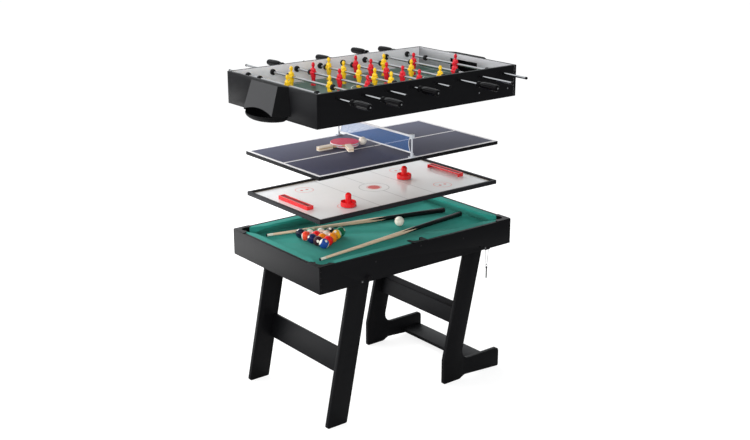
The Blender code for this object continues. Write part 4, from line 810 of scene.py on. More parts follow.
class GAMETABLE_OT_stage(bpy.types.Operator):
    """Lay the pale floor and set the soft lights"""

    bl_idname = "game_table.stage"
    bl_label = "Stage"

    def execute(self, context):
        shape = bmesh.new()
        bmesh.ops.create_grid(shape, x_segments=8, y_segments=8, size=60.0)
        mesh = bpy.data.meshes.new("studio_floor")
        shape.to_mesh(mesh)
        shape.free()
        mesh.materials.append(self.floor_paint())
        floor = bpy.data.objects.new("studio_floor", mesh)
        floor.location.z = -0.0005
        context.scene.collection.objects.link(floor)
        self.sky(context)
        middle = (0.0, 0.0, 1.0)
        self.lamp(context, "key", (-3.6, 3.6, 1.7), middle, 2.6, 210.0, False)
        self.lamp(context, "low card", (-1.9, 2.0, 0.02), (-1.9, 2.0, 2.0), 2.2, 32.0)
        self.lamp(context, "back", (0.6, 4.8, 2.0), middle, 3.4, 330.0, False)
        self.lamp(context, "fill", (-3.4, -4.4, 2.8), middle, 2.4, 190.0, False)
        context.scene.view_settings.view_transform = "Standard"
        return {"FINISHED"}

    def floor_paint(self):
        """White studio paint, rolled: even white that keeps the shadow under the table."""
        material, tree = start("studio_paint_rolled_white")
        glow, low, high = 0.80, 0.30, 0.32
        seen = add(tree, "ShaderNodeLightPath").outputs["Is Camera Ray"]
        power = add(tree, "ShaderNodeMath", {0: seen, 1: glow}, operation="MULTIPLY").outputs[0]
        mottle = grain(tree, 40.0)
        tone = add(tree, "ShaderNodeMix", {0: mottle, 6: (low, low, low, 1.0), 7: (high, high, high, 1.0)},
                   data_type="RGBA").outputs[2]
        matt = add(tree, "ShaderNodeBsdfDiffuse", {"Color": tone})
        shine = add(tree, "ShaderNodeEmission", {"Color": (1.0, 1.0, 1.0, 1.0), "Strength": power})
        close(tree, add(tree, "ShaderNodeAddShader", {0: matt.outputs[0], 1: shine.outputs[0]}))
        return material

    def sky(self, context):
        """Give soft light that is strongest from behind and the left, and white where the world is seen."""
        world = bpy.data.worlds.new("studio")
        world.use_nodes = True
        tree = world.node_tree
        tree.nodes.clear()
        way = add(tree, "ShaderNodeTexCoord").outputs["Generated"]
        turned = add(tree, "ShaderNodeVectorMath", {0: way, 1: (-0.40, 0.87, 0.28)}, operation="DOT_PRODUCT")
        power = add(tree, "ShaderNodeMapRange", {"Value": turned.outputs["Value"], "From Min": -0.7,
                                                 "From Max": 0.7, "To Min": 0.16, "To Max": 1.1}).outputs[0]
        seen = add(tree, "ShaderNodeLightPath").outputs["Is Camera Ray"]
        light = add(tree, "ShaderNodeBackground", {"Color": (0.96, 0.98, 1.0, 1.0), "Strength": power})
        white = add(tree, "ShaderNodeBackground", {"Color": (1.0, 1.0, 1.0, 1.0), "Strength": 1.0})
        mixed = add(tree, "ShaderNodeMixShader", {0: seen, 1: light.outputs[0], 2: white.outputs[0]})
        add(tree, "ShaderNodeOutputWorld", {"Surface": mixed.outputs[0]})
        context.scene.world = world

    def lamp(self, context, name, place, target, width, power, mirrored=True):
        """Set one soft square lamp, and say whether glossy pieces mirror it."""
        data = bpy.data.lights.new(name, "AREA")
        data.shape = "SQUARE"
        data.size = width
        data.energy = power
        item = bpy.data.objects.new(name, data)
        item.location = place
        item.rotation_euler = (Vector(target) - Vector(place)).to_track_quat("-Z", "Y").to_euler()
        item.visible_camera = False
        item.visible_glossy = mirrored
        context.scene.collection.objects.link(item)


class GAMETABLE_OT_aprons(bpy.types.Operator):
    """Make the four apron boards with the lock knobs and the screws"""

    bl_idname = "game_table.aprons"
    bl_label = "Aprons"

    def execute(self, context):
        edge = sizes().board_edge
        profile = [(0.0, 0.0), (0.0128, 0.0), (0.0128, 0.003), (0.0095, 0.0046), (0.0072, 0.0056),
                   (0.0090, 0.0068), (0.0126, 0.0096), (0.0130, 0.0120), (0.0128, 0.0155), (0.0105, 0.0185),
                   (0.0070, 0.0200), (0.0, 0.0196)]
        knob_profile = [(radius, OUTER_Y + reach) for radius, reach in rounded_profile(profile, 0.001, 3)]
        knob_x, knob_z, ridges, ridge_start = -0.322, 0.718, 16, OUTER_Y + 0.008

        def ridge(angle, reach):
            return 1.0 - 0.035 * (0.5 + 0.5 * math.cos(ridges * angle)) * (abs(reach) > ridge_start)

        for name, side in FRONT_AND_BACK:
            node = f"apron_{name}"
            board = without(copy_of(node), lambda c: abs(c.y) > OUTER_Y + 0.0002)
            piece(f"board_{node}", board, [board_foil()], "table", [node], edge)
            knob = bmesh.new()
            turn_across(knob, knob_profile, side, 48, (knob_x, 0.0, knob_z), wobble=ridge)
            piece(f"lock_knob_{name}", knob, [matt_plastic()], "table")
        for name, _ in LEFT_AND_RIGHT:
            node = f"apron_{name}"
            piece(f"board_{node}", copy_of(node), [board_foil()], "table", [node], edge)
        caps = bmesh.new()
        for end in SIDES:
            x = end * (INNER_X + WALL / 2)
            for row in range(4):
                height = APRON_BOTTOM + 0.022 + row * 0.029
                for side in SIDES:
                    screw_head(caps, (x, side * OUTER_Y, height), 0.0028, 0.0005, side)
        for x, height in ((-0.276, 0.786), (0.0, 0.806), (0.276, 0.786)):
            for side in SIDES:
                screw_head(caps, (x, side * OUTER_Y, height), 0.0042, 0.0004, side)
        piece("apron_corner_pins", caps, [dark_rubber()], "table")
        return {"FINISHED"}


class GAMETABLE_OT_bed(bpy.types.Operator):
    """Cover the pool bed and the cushion rails with cloth"""

    bl_idname = "game_table.bed"
    bl_label = "Bed and cushions"

    def execute(self, context):
        bed = copy_of("pool_bed")
        paint(bed, 1, lambda c, n: n.z < 0.9)
        piece("bed_panel", bed, [pool_cloth(), raw_board()], "table", ["pool_bed"], 0.0005)
        foot = BED_TOP + GAP
        nose = sizes().cushion_nose
        width, lip, crease = 0.040, 0.011, 0.003
        profile = [(0.0, foot), (0.006, foot)]
        profile += arc(width - crease, TABLE_TOP - lip, crease, -math.pi / 6, 0.0, 4)
        profile += arc(width - nose, TABLE_TOP - nose, nose, 0.0, math.pi / 2, 6)
        profile += [(0.012, TABLE_TOP), (0.0, TABLE_TOP)]
        shape = bmesh.new()
        corners = ((-1, -1), (1, -1), (1, 1), (-1, 1))
        loft(shape, [[Vector((side_x * (INNER_X - GAP - inset), side_y * (INNER_Y - GAP - inset), height))
                      for inset, height in profile] for side_x, side_y in corners], closed=True)
        for x, y, side_x, side_y in pocket_places():
            tool = bmesh.new()
            outline = [(x + u, y + v) for u, v in self.mouth(side_x, side_y)]
            plate(tool, outline, foot - 0.004, TABLE_TOP + 0.004)
            shape = cut(shape, tool)
        piece("cushions_covered", shape, [pool_cloth()], "table", ["cushion_rails"], 0.0012, 40.0, 3)
        return {"FINISHED"}

    def mouth(self, side_x, side_y):
        """Return a pocket's cut in the rails, about its middle: round behind and flared to the table."""
        facing = math.atan2(-side_y, -side_x)
        outline = arc(0.0, 0.0, sizes().pocket + GAP * 2, facing + math.pi / 2, facing + math.pi * 3 / 2, 18)
        reach = 0.080 / (math.cos(math.pi / 4) if side_x else 1.0)
        for side, (u, v) in ((-1, outline[-1]), (1, outline[0])):
            flare = facing + side * math.atan(0.45)
            outline.append((u + reach * math.cos(flare), v + reach * math.sin(flare)))
        return outline


class GAMETABLE_OT_pockets(bpy.types.Operator):
    """Make the six pocket liners with their caps"""

    bl_idname = "game_table.pockets"
    bl_label = "Pockets"

    def execute(self, context):
        radius = sizes().pocket
        wall, depth = 0.0025, 0.045
        for (x, y, side_x, side_y), name in zip(pocket_places(), POCKET_NAMES):
            shape = bmesh.new()
            top = TABLE_TOP - BED_TOP + GAP
            profile = [(0.0, -depth), (radius - 0.006, -depth), (radius, -depth + 0.006), (radius, top),
                       (radius - wall, top), (radius - wall, -depth + 0.008), (radius - 0.008, -depth + wall),
                       (0.0, -depth + wall)]
            turning(shape, rounded_profile(profile, 0.002, 3), 40)
            tool = bmesh.new()
            reach = radius + 0.004
            block(tool, (-reach, -reach, 0.0), (-0.0005, reach, top + 0.004))
            shape = cut(shape, tool)
            turn = Matrix.Translation((x, y, BED_TOP)) @ Matrix.Rotation(math.atan2(side_y, side_x), 4, "Z")
            bmesh.ops.transform(shape, verts=shape.verts, matrix=turn)
            cap = self.corner_cap() if side_x else self.middle_cap()
            outline = [(x + (side_x or 1) * u, y + side_y * v) for u, v in cap]
            plate(shape, outline, TABLE_TOP + GAP, TABLE_TOP + GAP + 0.003)
            piece(f"liner_{name}", shape, [gloss_plastic()], "table", [f"pocket_{name}"], 0.0009, 40.0, 3)
        return {"FINISHED"}

    def cup_edge(self, begin):
        """Return the inner edge of a cap, half a turn just inside its cup."""
        return arc(0.0, 0.0, sizes().pocket - 0.0035, begin, begin - math.pi, 20)

    def corner_cap(self):
        """Return the outline of a corner cap, its corner towards +U and +V."""
        inner = sizes().pocket
        edge = inner + 0.019
        end = edge - 0.092
        chamfer, corner = 0.003, 0.006
        return arc(edge - corner, edge - corner, corner, 0.0, math.pi / 2, 5) \
            + [(end + chamfer, edge), (end, edge - chamfer), (end, inner + chamfer), (end + chamfer, inner)] \
            + self.cup_edge(math.pi * 3 / 4) \
            + [(inner, end + chamfer), (inner + chamfer, end), (edge - chamfer, end), (edge, end + chamfer)]

    def middle_cap(self):
        """Return the outline of a middle cap, its wall towards +V."""
        edge = sizes().pocket + 0.019
        reach, chamfer = 0.046, 0.004
        return [(reach, -0.001), (reach, edge - chamfer), (reach - chamfer, edge), (chamfer - reach, edge),
                (-reach, edge - chamfer), (-reach, -0.001)] + self.cup_edge(math.pi)


class GAMETABLE_OT_balls(bpy.types.Operator):
    """Set the fifteen racked balls and the cue ball on the cloth"""

    bl_idname = "game_table.balls"
    bl_label = "Pool balls"

    def execute(self, context):
        # Each ball's paint, whether it is striped, and the way that its top or its disc is turned
        paints = (("1e4597", True, (0.72, -0.50, -0.48)), ("3c1624", False, (-0.60, -0.75, 0.28)),
                  ("191e52", False, (-0.85, 0.10, 0.52)), ("f8482a", True, (-0.70, 0.55, -0.10)),
                  ("171b33", False, (-0.50, 0.30, 0.80)), ("ea1418", False, (0.90, 0.35, 0.22)),
                  ("ff8c14", False, (0.30, -0.60, -0.50)), ("f2161c", False, (0.90, 0.20, 0.10)),
                  ("4fa37c", True, (-0.62, -0.68, 0.40)), ("ff8c14", False, (0.60, -0.20, -0.60)),
                  ("dda184", True, (-0.55, -0.66, 0.50)), ("3f9a78", True, (-0.20, -0.60, 0.78)),
                  ("ffb61e", True, (0.80, -0.45, 0.35)), ("141314", False, (-0.30, -0.30, 0.90)),
                  ("106a48", False, (0.50, -0.65, 0.55)))
        # The rack's first ball and the cue ball, as shares of the table's length and width in the photograph
        rack_x, rack_y = -0.281 * TABLE_LENGTH, 0.084 * TABLE_WIDTH
        cue_ball_spot = (0.147 * TABLE_LENGTH, 0.018 * TABLE_WIDTH)
        pitch = sizes().ball - 0.0002
        spots = [(row, place - (4 - row) / 2) for row in range(5) for place in range(5 - row)]
        for number, ((row, across), (code, striped, way)) in enumerate(zip(spots, paints), 1):
            spot = (rack_x + row * pitch * math.sqrt(3) / 2, rack_y + across * pitch)
            own = Vector((0.0, 0.0, 1.0)) if striped else Vector((1.0, 0.0, 0.0))
            turn = own.rotation_difference(Vector(way)).to_matrix().to_4x4()
            self.ball(f"pool_ball_{number}", spot, ball_resin(number, code, striped), turn,
                      ["racked_balls"] if number == 1 else [])
        self.ball("cue_ball_cast", cue_ball_spot, cream_resin(), Matrix.Identity(4), ["cue_ball"])
        return {"FINISHED"}

    def ball(self, name, place, material, turn, nodes):
        """Set one ball on the cloth, turned its own way."""
        shape = bmesh.new()
        half = sizes().ball / 2 - 0.0001
        side = arc(0.0, 0.0, half, math.pi / 2, -math.pi / 2, 20)[1:-1]
        turning(shape, [(0.0, half)] + side + [(0.0, -half)], 40)
        seat = Matrix.Translation((*place, BED_TOP + GAP + sizes().ball / 2))
        piece(name, shape, [material], "table", nodes, matrix=seat @ turn)


class GAMETABLE_OT_cues(bpy.types.Operator):
    """Lay the two cues on the table"""

    bl_idname = "game_table.cues"
    bl_label = "Cues"

    def execute(self, context):
        own = sizes()
        slope = (own.cue_butt - own.cue_tip) / own.cue
        leather = ink("leather_pressed_dark", "2b2f38", 0.8)
        materials = [maple(), black_lacquer(), cream_resin(), dark_rubber(), leather]
        # Where each cue's tip and butt lie, as shares of the table's length and width
        places = (((-0.379, 0.398), (0.429, 0.063)), ((-0.381, -0.233), (0.447, -0.079)))
        for number, ends in enumerate(places, 1):
            tip, butt = [Vector((u * TABLE_LENGTH, v * TABLE_WIDTH, 0.0)) for u, v in ends]
            along = butt - tip
            along.z = slope * along.length
            seat = Matrix.Translation((tip.x, tip.y, BED_TOP + GAP + own.cue_tip))
            turn = Vector((0.0, 0.0, 1.0)).rotation_difference(along.normalized()).to_matrix().to_4x4()
            piece(f"cue_turned_{number}", self.shape(slope), materials, "table", [f"cue_{number}"],
                  matrix=seat @ turn)
        return {"FINISHED"}

    def shape(self, slope):
        """Return a cue with its tip, ferrule, pointed splice, ring and bumper."""
        own = sizes()
        length = own.cue
        splice = length * 0.60
        # Each level's height over the tip, its change of radius, and the material of the part below it
        levels = [(0.0, -0.0022, 4), (0.0, 0.0004, 4), (0.003, 0.0, 4), (0.0034, 0.0, 2), (0.034, 0.0, 2),
                  (0.0342, 0.0, 0), (0.15, 0.0, 0), (0.30, 0.0, 0), (0.45, 0.0, 0), (splice - 0.06, 0.0, 0),
                  (splice, 0.0, 0), (0.72, 0.0, 1), (0.86, 0.0, 1), (0.93, 0.0, 1), (0.9308, -0.0002, 1),
                  (0.97, 0.0, 1), (length - 0.012, 0.0, 1), (length - 0.0115, -0.0006, 3),
                  (length - 0.003, -0.0008, 3), (length, -0.003, 3)]
        shape = bmesh.new()
        facets, points, half_point = 32, 4, 0.055
        loops = []
        for height, inset, _ in levels:
            radius = own.cue_tip + slope * height + inset - 0.0001
            loop = []
            for step in range(facets):
                angle = math.tau * step / facets
                rise = 0.0
                if height == splice:
                    rise = half_point * (4 * abs(step * points / facets % 1 - 0.5) - 1)
                loop.append(shape.verts.new((radius * math.cos(angle), radius * math.sin(angle),
                                             height + rise)))
            loops.append(loop)
        for first, second, (_, _, slot) in zip(loops, loops[1:], levels[1:]):
            for index in range(facets):
                face = shape.faces.new((first[index - 1], first[index], second[index], second[index - 1]))
                face.material_index = slot
        for loop, slot in ((loops[0], 4), (loops[-1], 3)):
            shape.faces.new(loop).material_index = slot
        return shape


class GAMETABLE_OT_legs(bpy.types.Operator):
    """Make both leg frames with their boards, stretchers and pivot bolts"""

    bl_idname = "game_table.legs"
    bl_label = "Legs"

    def execute(self, context):
        edge = sizes().board_edge * 1.6
        washer = [(0.0, 0.3656), (0.0088, 0.3656), (0.0090, 0.3662), (0.0086, 0.3668), (0.0062, 0.3668),
                  (0.0, 0.3668)]
        dome = [(0.0, 0.3667), (0.0042, 0.3667), (0.0042, 0.3680), (0.0036, 0.3690), (0.0020, 0.3695),
                (0.0, 0.3696)]
        # Each frame's lane is the distance of its boards' inner faces from the table's middle
        for frame_name, lane, pivot_x in (("left", 0.329, -0.358), ("right", 0.306, 0.4245)):
            outside = lane + LEG_BOARD + 0.0002
            spacer = [(0.004, outside), (0.0138, outside), (0.0138, 0.3493), (0.004, 0.3493)]
            body = f"{frame_name}_leg_frame"
            for end, side in FRONT_AND_BACK:
                node = f"{frame_name}_leg_{end}"
                board = without(copy_of(node), lambda c: abs(c.y) > outside + 0.0001)
                piece(f"board_{node}", board, [board_foil()], body, [node], edge)
                bolt = bmesh.new()
                pivot = (pivot_x, 0.0, PIVOT_HEIGHT)
                turn_across(bolt, spacer, side, 32, pivot, ring=True)
                turn_across(bolt, washer, side, 32, pivot, slot=1)
                turn_across(bolt, dome, side, 32, pivot, slot=2)
                piece(f"bolt_{node}", bolt, [zinc(), dark_rubber(), chrome()], body)
        for node, body in (("left_leg_stretcher", "left_leg_frame"),
                           ("right_leg_stretcher", "right_leg_frame"),
                           ("right_foot_board", "right_leg_frame")):
            piece(f"board_{node}", copy_of(node), [board_foil()], body, [node], edge)
        return {"FINISHED"}


def ring_mark(shape, x, y, radius, width, low, slot=0, facets=48):
    """Add a thin printed ring."""
    plate(shape, circle(x, y, radius + width / 2, facets), low, low + PRINT_THICKNESS,
          holes=[circle(x, y, radius - width / 2, facets)], slot=slot)


def spot_mark(shape, x, y, radius, facets, low, slot=0):
    """Add a thin printed spot."""
    plate(shape, circle(x, y, radius, facets), low, low + PRINT_THICKNESS, slot=slot)


def line_mark(shape, x_first, x_last, y_first, y_last, low, slot=0):
    """Add a thin printed bar between two lines each way, in either order."""
    outline = rectangle(*sorted((x_first, x_last)), *sorted((y_first, y_last)))
    plate(shape, outline, low, low + PRINT_THICKNESS, slot=slot)


def bow_mark(shape, side, x, depth, half, width, steps, low):
    """Add a thin printed bow that bulges towards the middle of the table."""
    angles = [math.pi * step / steps for step in range(steps + 1)]
    rims = [[(side * (begin - reach * math.sin(angle)), -end * math.cos(angle)) for angle in angles]
            for begin, reach, end in ((x, depth, half), (x + 0.0005, depth - width, half - width))]
    plate(shape, rims[0] + rims[1][::-1], low, low + PRINT_THICKNESS)


class GAMETABLE_OT_hockey(bpy.types.Operator):
    """Make the hockey top: rim, field, markings, goals and pushers"""

    bl_idname = "game_table.hockey"
    bl_label = "Hockey top"

    def execute(self, context):
        # The rim takes the black foil at three times its brightness: painted light for its lit top and sides.
        piece("rim_frame", copy_of("hockey_rim"), [board_foil(3.0)], "hockey_top", ["hockey_rim"], 0.0012,
              35.0, 3)
        field = bmesh.new()
        low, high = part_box("hockey_playfield")
        block(field, low, (high[0], high[1], HOCKEY_FLOOR))
        piece("field_panel", field, [hockey_white()], "hockey_top", ["hockey_playfield"], 0.0004)
        self.marks()
        self.goals()
        self.pusher(1, (-0.297, -0.1824), "pusher_left")
        self.pusher(2, (0.22, 0.0304), "pusher_right")
        return {"FINISHED"}

    def marks(self):
        """Print the lines, rings and spots on the field, and lay a beige band round its edge as painted
        light.
        """
        shape = bmesh.new()
        low = HOCKEY_FLOOR + PRINT_LIFT
        half = 0.002
        x, y, inner_y, rim_sheen_width = 0.5354, 0.2895, 0.282, 0.007
        for side in SIDES:
            line_mark(shape, -half, half, side * 0.077, side * inner_y, low)
        ring_mark(shape, 0.0, 0.0, 0.075, half * 2, low)
        ring_mark(shape, 0.0, 0.0, 0.036, half * 2, low, 1)
        spot_mark(shape, 0.0, 0.0, 0.031, 40, low, 2)
        # The beige band round the field's edge is painted light: it stands in for the pale sheen on the rim's
        # inner face.
        for side in SIDES:
            line_mark(shape, side * x, side * (x - rim_sheen_width), -y, y, low, 3)
            line_mark(shape, -0.5283, 0.5283, side * y, side * (y - 0.007), low, 3)
        for side_x in SIDES:
            line_mark(shape, side_x * 0.17 - half, side_x * 0.17 + half, -inner_y, inner_y, low)
            for side_y in SIDES:
                ring_x, ring_y = side_x * 0.30, side_y * 0.175
                ring_mark(shape, ring_x, ring_y, 0.045, half * 2, low, 1)
                for turn in SIDES:
                    spot_mark(shape, ring_x + turn * 0.016, ring_y, 0.008, 20, low, 2)
            bow_mark(shape, side_x, 0.470, 0.055, 0.10, 0.003, 24, low)
        piece("field_print", shape, [ink("ink_printed_grey", "9ea4a9"), ink("ink_printed_pale_red", "d98f8f"),
                                     ink("ink_printed_red", "d0423f"), ink("ink_printed_beige", "a89f8c")],
              "hockey_top")

    def goals(self):
        """Make the two red goal boxes, open towards the middle and grooved along their tops, each groove's
        floor a darker red as painted shade for the box's dark inside.
        """
        outer_x, depth, half, wall, groove = 0.490, 0.036, 0.120, 0.003, 0.0018
        inner_x, high = outer_x - depth, HOCKEY_FLOOR + 0.019
        for name, side in LEFT_AND_RIGHT:
            box = bmesh.new()
            block(box, (inner_x, -half, HOCKEY_FLOOR + 0.0001), (outer_x, half, high))
            for low, top in (((inner_x - 0.004, wall - half, HOCKEY_FLOOR - 0.004),
                              (outer_x - wall, half - wall, high - wall)),
                             ((inner_x + 0.006, 0.007 - half, high - groove),
                              (outer_x - 0.006, half - 0.007, high + 0.004))):
                tool = bmesh.new()
                block(tool, low, top)
                box = cut(box, tool)
            # The groove's floor takes a dark red: painted shade standing in for the dark inside of the box.
            paint(box, 1, lambda c, n: n.z > 0.9 and abs(c.z - high + groove) < 0.0006)
            bmesh.ops.transform(box, verts=box.verts, matrix=Matrix.Scale(side, 4, (1.0, 0.0, 0.0)))
            groove_shade = ink("polystyrene_textured_dark_red", "8c1018", 0.6)
            piece(f"goal_box_{name}", box, [red_plastic(), groove_shade], "hockey_top", (), 0.0009, 35.0, 3)

    def pusher(self, number, place, body):
        """Make one pusher: a rimmed cup round a domed knob, on a felt ring."""
        shape = bmesh.new()
        radius = sizes().pusher
        profile = [(0.0, 0.0014), (radius - 0.003, 0.0014), (radius, 0.004), (radius, 0.020),
                   (radius - 0.0012, 0.0255), (radius - 0.0030, 0.0258), (radius - 0.0042, 0.0235),
                   (radius - 0.0052, 0.0130), (0.0265, 0.0104), (0.0205, 0.0118), (0.0172, 0.0200),
                   (0.0150, 0.0330), (0.0146, 0.0440), (0.0153, 0.0520)]
        height, dome = 0.068, 0.0155
        profile += arc(0.0, height - dome, dome, 0.0, math.pi / 2, 8)[:-1] + [(0.0, height)]
        turning(shape, rounded_profile(profile, 0.0016, 3), 56)
        turning(shape, [(0.030, 0.0), (0.036, 0.0), (0.036, 0.0014), (0.030, 0.0014)], 56, ring=True, slot=1)
        seat = Matrix.Translation((*place, HOCKEY_FLOOR + GAP))
        felt = finish("felt_pressed_grey", linear("77787a"), linear("97989a"), 0.8, 0.95, 0.1)
        piece(f"pusher_moulded_{number}", shape, [red_plastic(), felt], body, [f"pusher_{number}"],
              matrix=seat)


class GAMETABLE_OT_tennis(bpy.types.Operator):
    """Make the table tennis top: board, lines, posts, net, paddles and ball"""

    bl_idname = "game_table.tennis"
    bl_label = "Table tennis top"

    def execute(self, context):
        board = copy_of("tennis_board")
        paint(board, 1, lambda c, n: abs(n.z) < 0.5)
        paint(board, 2, lambda c, n: n.z < -0.5)
        faces = [slate_paint(), board_foil(), raw_board()]
        piece("tennis_panel", board, faces, "tennis_top", ["tennis_board"], 0.0010)
        lines = bmesh.new()
        low = TENNIS_TOP + PRINT_LIFT
        x, y, wide, narrow = 0.549, 0.303, 0.016, 0.0055
        for side in SIDES:
            line_mark(lines, side * x, side * (x - wide), -y, y, low)
            line_mark(lines, wide - x, x - wide, side * y, side * (y - wide), low)
            line_mark(lines, side * 0.003, side * (x - wide), -narrow, narrow, low)
        piece("tennis_lines", lines, [ink("paint_screened_white", "f6f6f8", 0.5)], "tennis_top")
        self.net()
        self.posts()
        self.paddles()
        self.ball()
        return {"FINISHED"}

    def net(self):
        """Stretch the net between the posts, with a tape along its top and bottom."""
        half = 0.304 - 0.014 - 0.008 - GAP
        low = TENNIS_TOP + GAP + 0.018
        high = low + 0.088
        steps, rows = 60, 10
        shape = bmesh.new()
        grid = []

        def pull(share):
            return 0.055 * math.sin(math.pi * share)

        for column in range(steps + 1):
            y = -half + 2 * half * column / steps
            line = []
            for row in range(rows + 1):
                z = low + (high - low) * row / rows
                bow = sizes().net_wave * 0.4 * math.sin(math.pi * row / rows) * math.sin(9 * y / half)
                line.append(shape.verts.new((bow, y * (1.0 - pull(row / rows) * abs(y / half) ** 6), z)))
            grid.append(line)
        for first, second in zip(grid, grid[1:]):
            for row in range(rows):
                shape.faces.new((first[row], first[row + 1], second[row + 1], second[row]))
        net = piece("net_mesh", shape, [net_mesh()], "tennis_top", ["tennis_net"])
        tapes = bmesh.new()
        for bottom, top in ((high - 0.010, high), (low, low + 0.007)):
            plate(tapes, rectangle(-half, half, bottom, top), -0.0006, 0.0006, "YZ")
        tape = piece("net_tapes", tapes, [tape_cloth()], "tennis_top", (), 0.0004)
        for name, side in FRONT_AND_BACK:
            route = [Vector((0.0, side * (half - 0.0012) * (1.0 - pull(step / 12)),
                             low + 0.002 + (high - low - 0.004) * step / 12)) for step in range(13)]
            tube(f"net_edge_cord_{name}", route, 0.0012, tape_cloth(), "tennis_top")

    def posts(self):
        """Make the two clamped posts that hold the net."""
        low = TENNIS_TOP + GAP
        screw = [(0.0, low + 0.0049), (0.0028, low + 0.0049), (0.0022, low + 0.0062), (0.0, low + 0.0066)]
        for name, side in FRONT_AND_BACK:
            y = side * 0.290
            shape = bmesh.new()
            # Foot, pole, head and clamp: half length, half width, roundness, bottom and top
            for along, across, radius, bottom, top in ((0.018, 0.010, 0.005, 0.0, 0.005),
                                                       (0.003, 0.003, 0.0012, 0.004, 0.094),
                                                       (0.011, 0.008, 0.003, 0.092, 0.112),
                                                       (0.006, 0.0055, 0.002, 0.004, 0.020)):
                plate(shape, rounded(-along, along, y - across, y + across, radius), low + bottom, low + top)
            for spot in SIDES:
                turning(shape, screw, 16, (spot * 0.0125, y, 0.0), slot=1)
            piece(f"post_{name}", shape, [pale_plastic(), zinc()], "tennis_top", [f"net_post_{name}"], 0.0006)

    def paddles(self):
        """Lay the two paddles crossed, each of plywood with two rubber faces and a handle of two halves."""
        for level, (name, angle) in enumerate((("lower", 180.0), ("upper", 244.5))):
            low = TENNIS_TOP + 0.005 + GAP + level * (0.009 + GAP)
            shape = bmesh.new()
            plate(shape, self.blade(0.0706, 0.012), low + 0.002, low + 0.007)
            for bottom in (low, low + 0.0072):
                plate(shape, self.rubber(0.0698), bottom, bottom + 0.0018, slot=1)
            turning(shape, [(0.0695, low + 0.0016), (0.0709, low + 0.0020), (0.0709, low + 0.0070),
                            (0.0695, low + 0.0074)], 64, ring=True, slot=2)
            for bottom, top in ((low - 0.005, low + 0.0019), (low + 0.0071, low + 0.014)):
                plate(shape, rounded(0.0785, 0.1615, -0.0138, 0.0138, 0.004), bottom, top, slot=3)
            turn = Matrix.Translation((-0.1155, 0.086944, 0.0)) @ Matrix.Rotation(math.radians(angle), 4, "Z")
            piece(f"bat_{name}", shape, [plywood_edge(), paddle_rubber(), tape_cloth(), self.handle_wood()],
                  "tennis_top", [f"paddle_{name}"], 0.0008, 35.0, 3, matrix=turn)

    def handle_wood(self):
        """Basswood, shaped and sanded: pale, with long soft grain."""
        return finish("basswood_shaped_and_sanded", linear("e6d8c4"), linear("f6ecdd"), 1.4, 0.5, 0.01,
                      (0.06, 1.0, 1.0))

    def blade(self, radius, shoulder):
        """Return the ply's outline: a round blade that runs into its handle along +U."""
        half, end = 0.013, 0.161
        opening = math.asin((half + shoulder) / radius)
        begin = radius + shoulder / 2
        return arc(0.0, 0.0, radius, opening, math.tau - opening, 48) \
            + [(begin, -half), (end, -half), (end, half), (begin, half)]

    def rubber(self, radius):
        """Return a rubber's outline: the blade, cut straight across at the handle."""
        opening = math.acos(0.060 / radius)
        return arc(0.0, 0.0, radius, opening, math.tau - opening, 48)

    def ball(self):
        """Set the ball against the paddles, with its seam."""
        low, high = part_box("tennis_ball")
        middle = Vector([(low[axis] + high[axis]) / 2 for axis in range(3)])
        half = 0.0199
        shape = bmesh.new()
        profile = [(0.0, half)]
        for step in range(1, 32):
            angle = math.pi * step / 32
            sink = 0.00008 if step == 16 else 0.0
            profile.append(((half - sink) * math.sin(angle), half * math.cos(angle)))
        profile.append((0.0, -half))
        turning(shape, profile, 48)
        turn = Matrix.Translation(middle) @ Euler((0.7, 0.4, 0.2)).to_matrix().to_4x4()
        piece("tennis_ball_moulded", shape, [celluloid()], "tennis_top", ["tennis_ball"], matrix=turn)


def rod_x(index):
    """Return where a rod crosses the football box."""
    return (index - (len(RODS) - 1) / 2) * ROD_PITCH


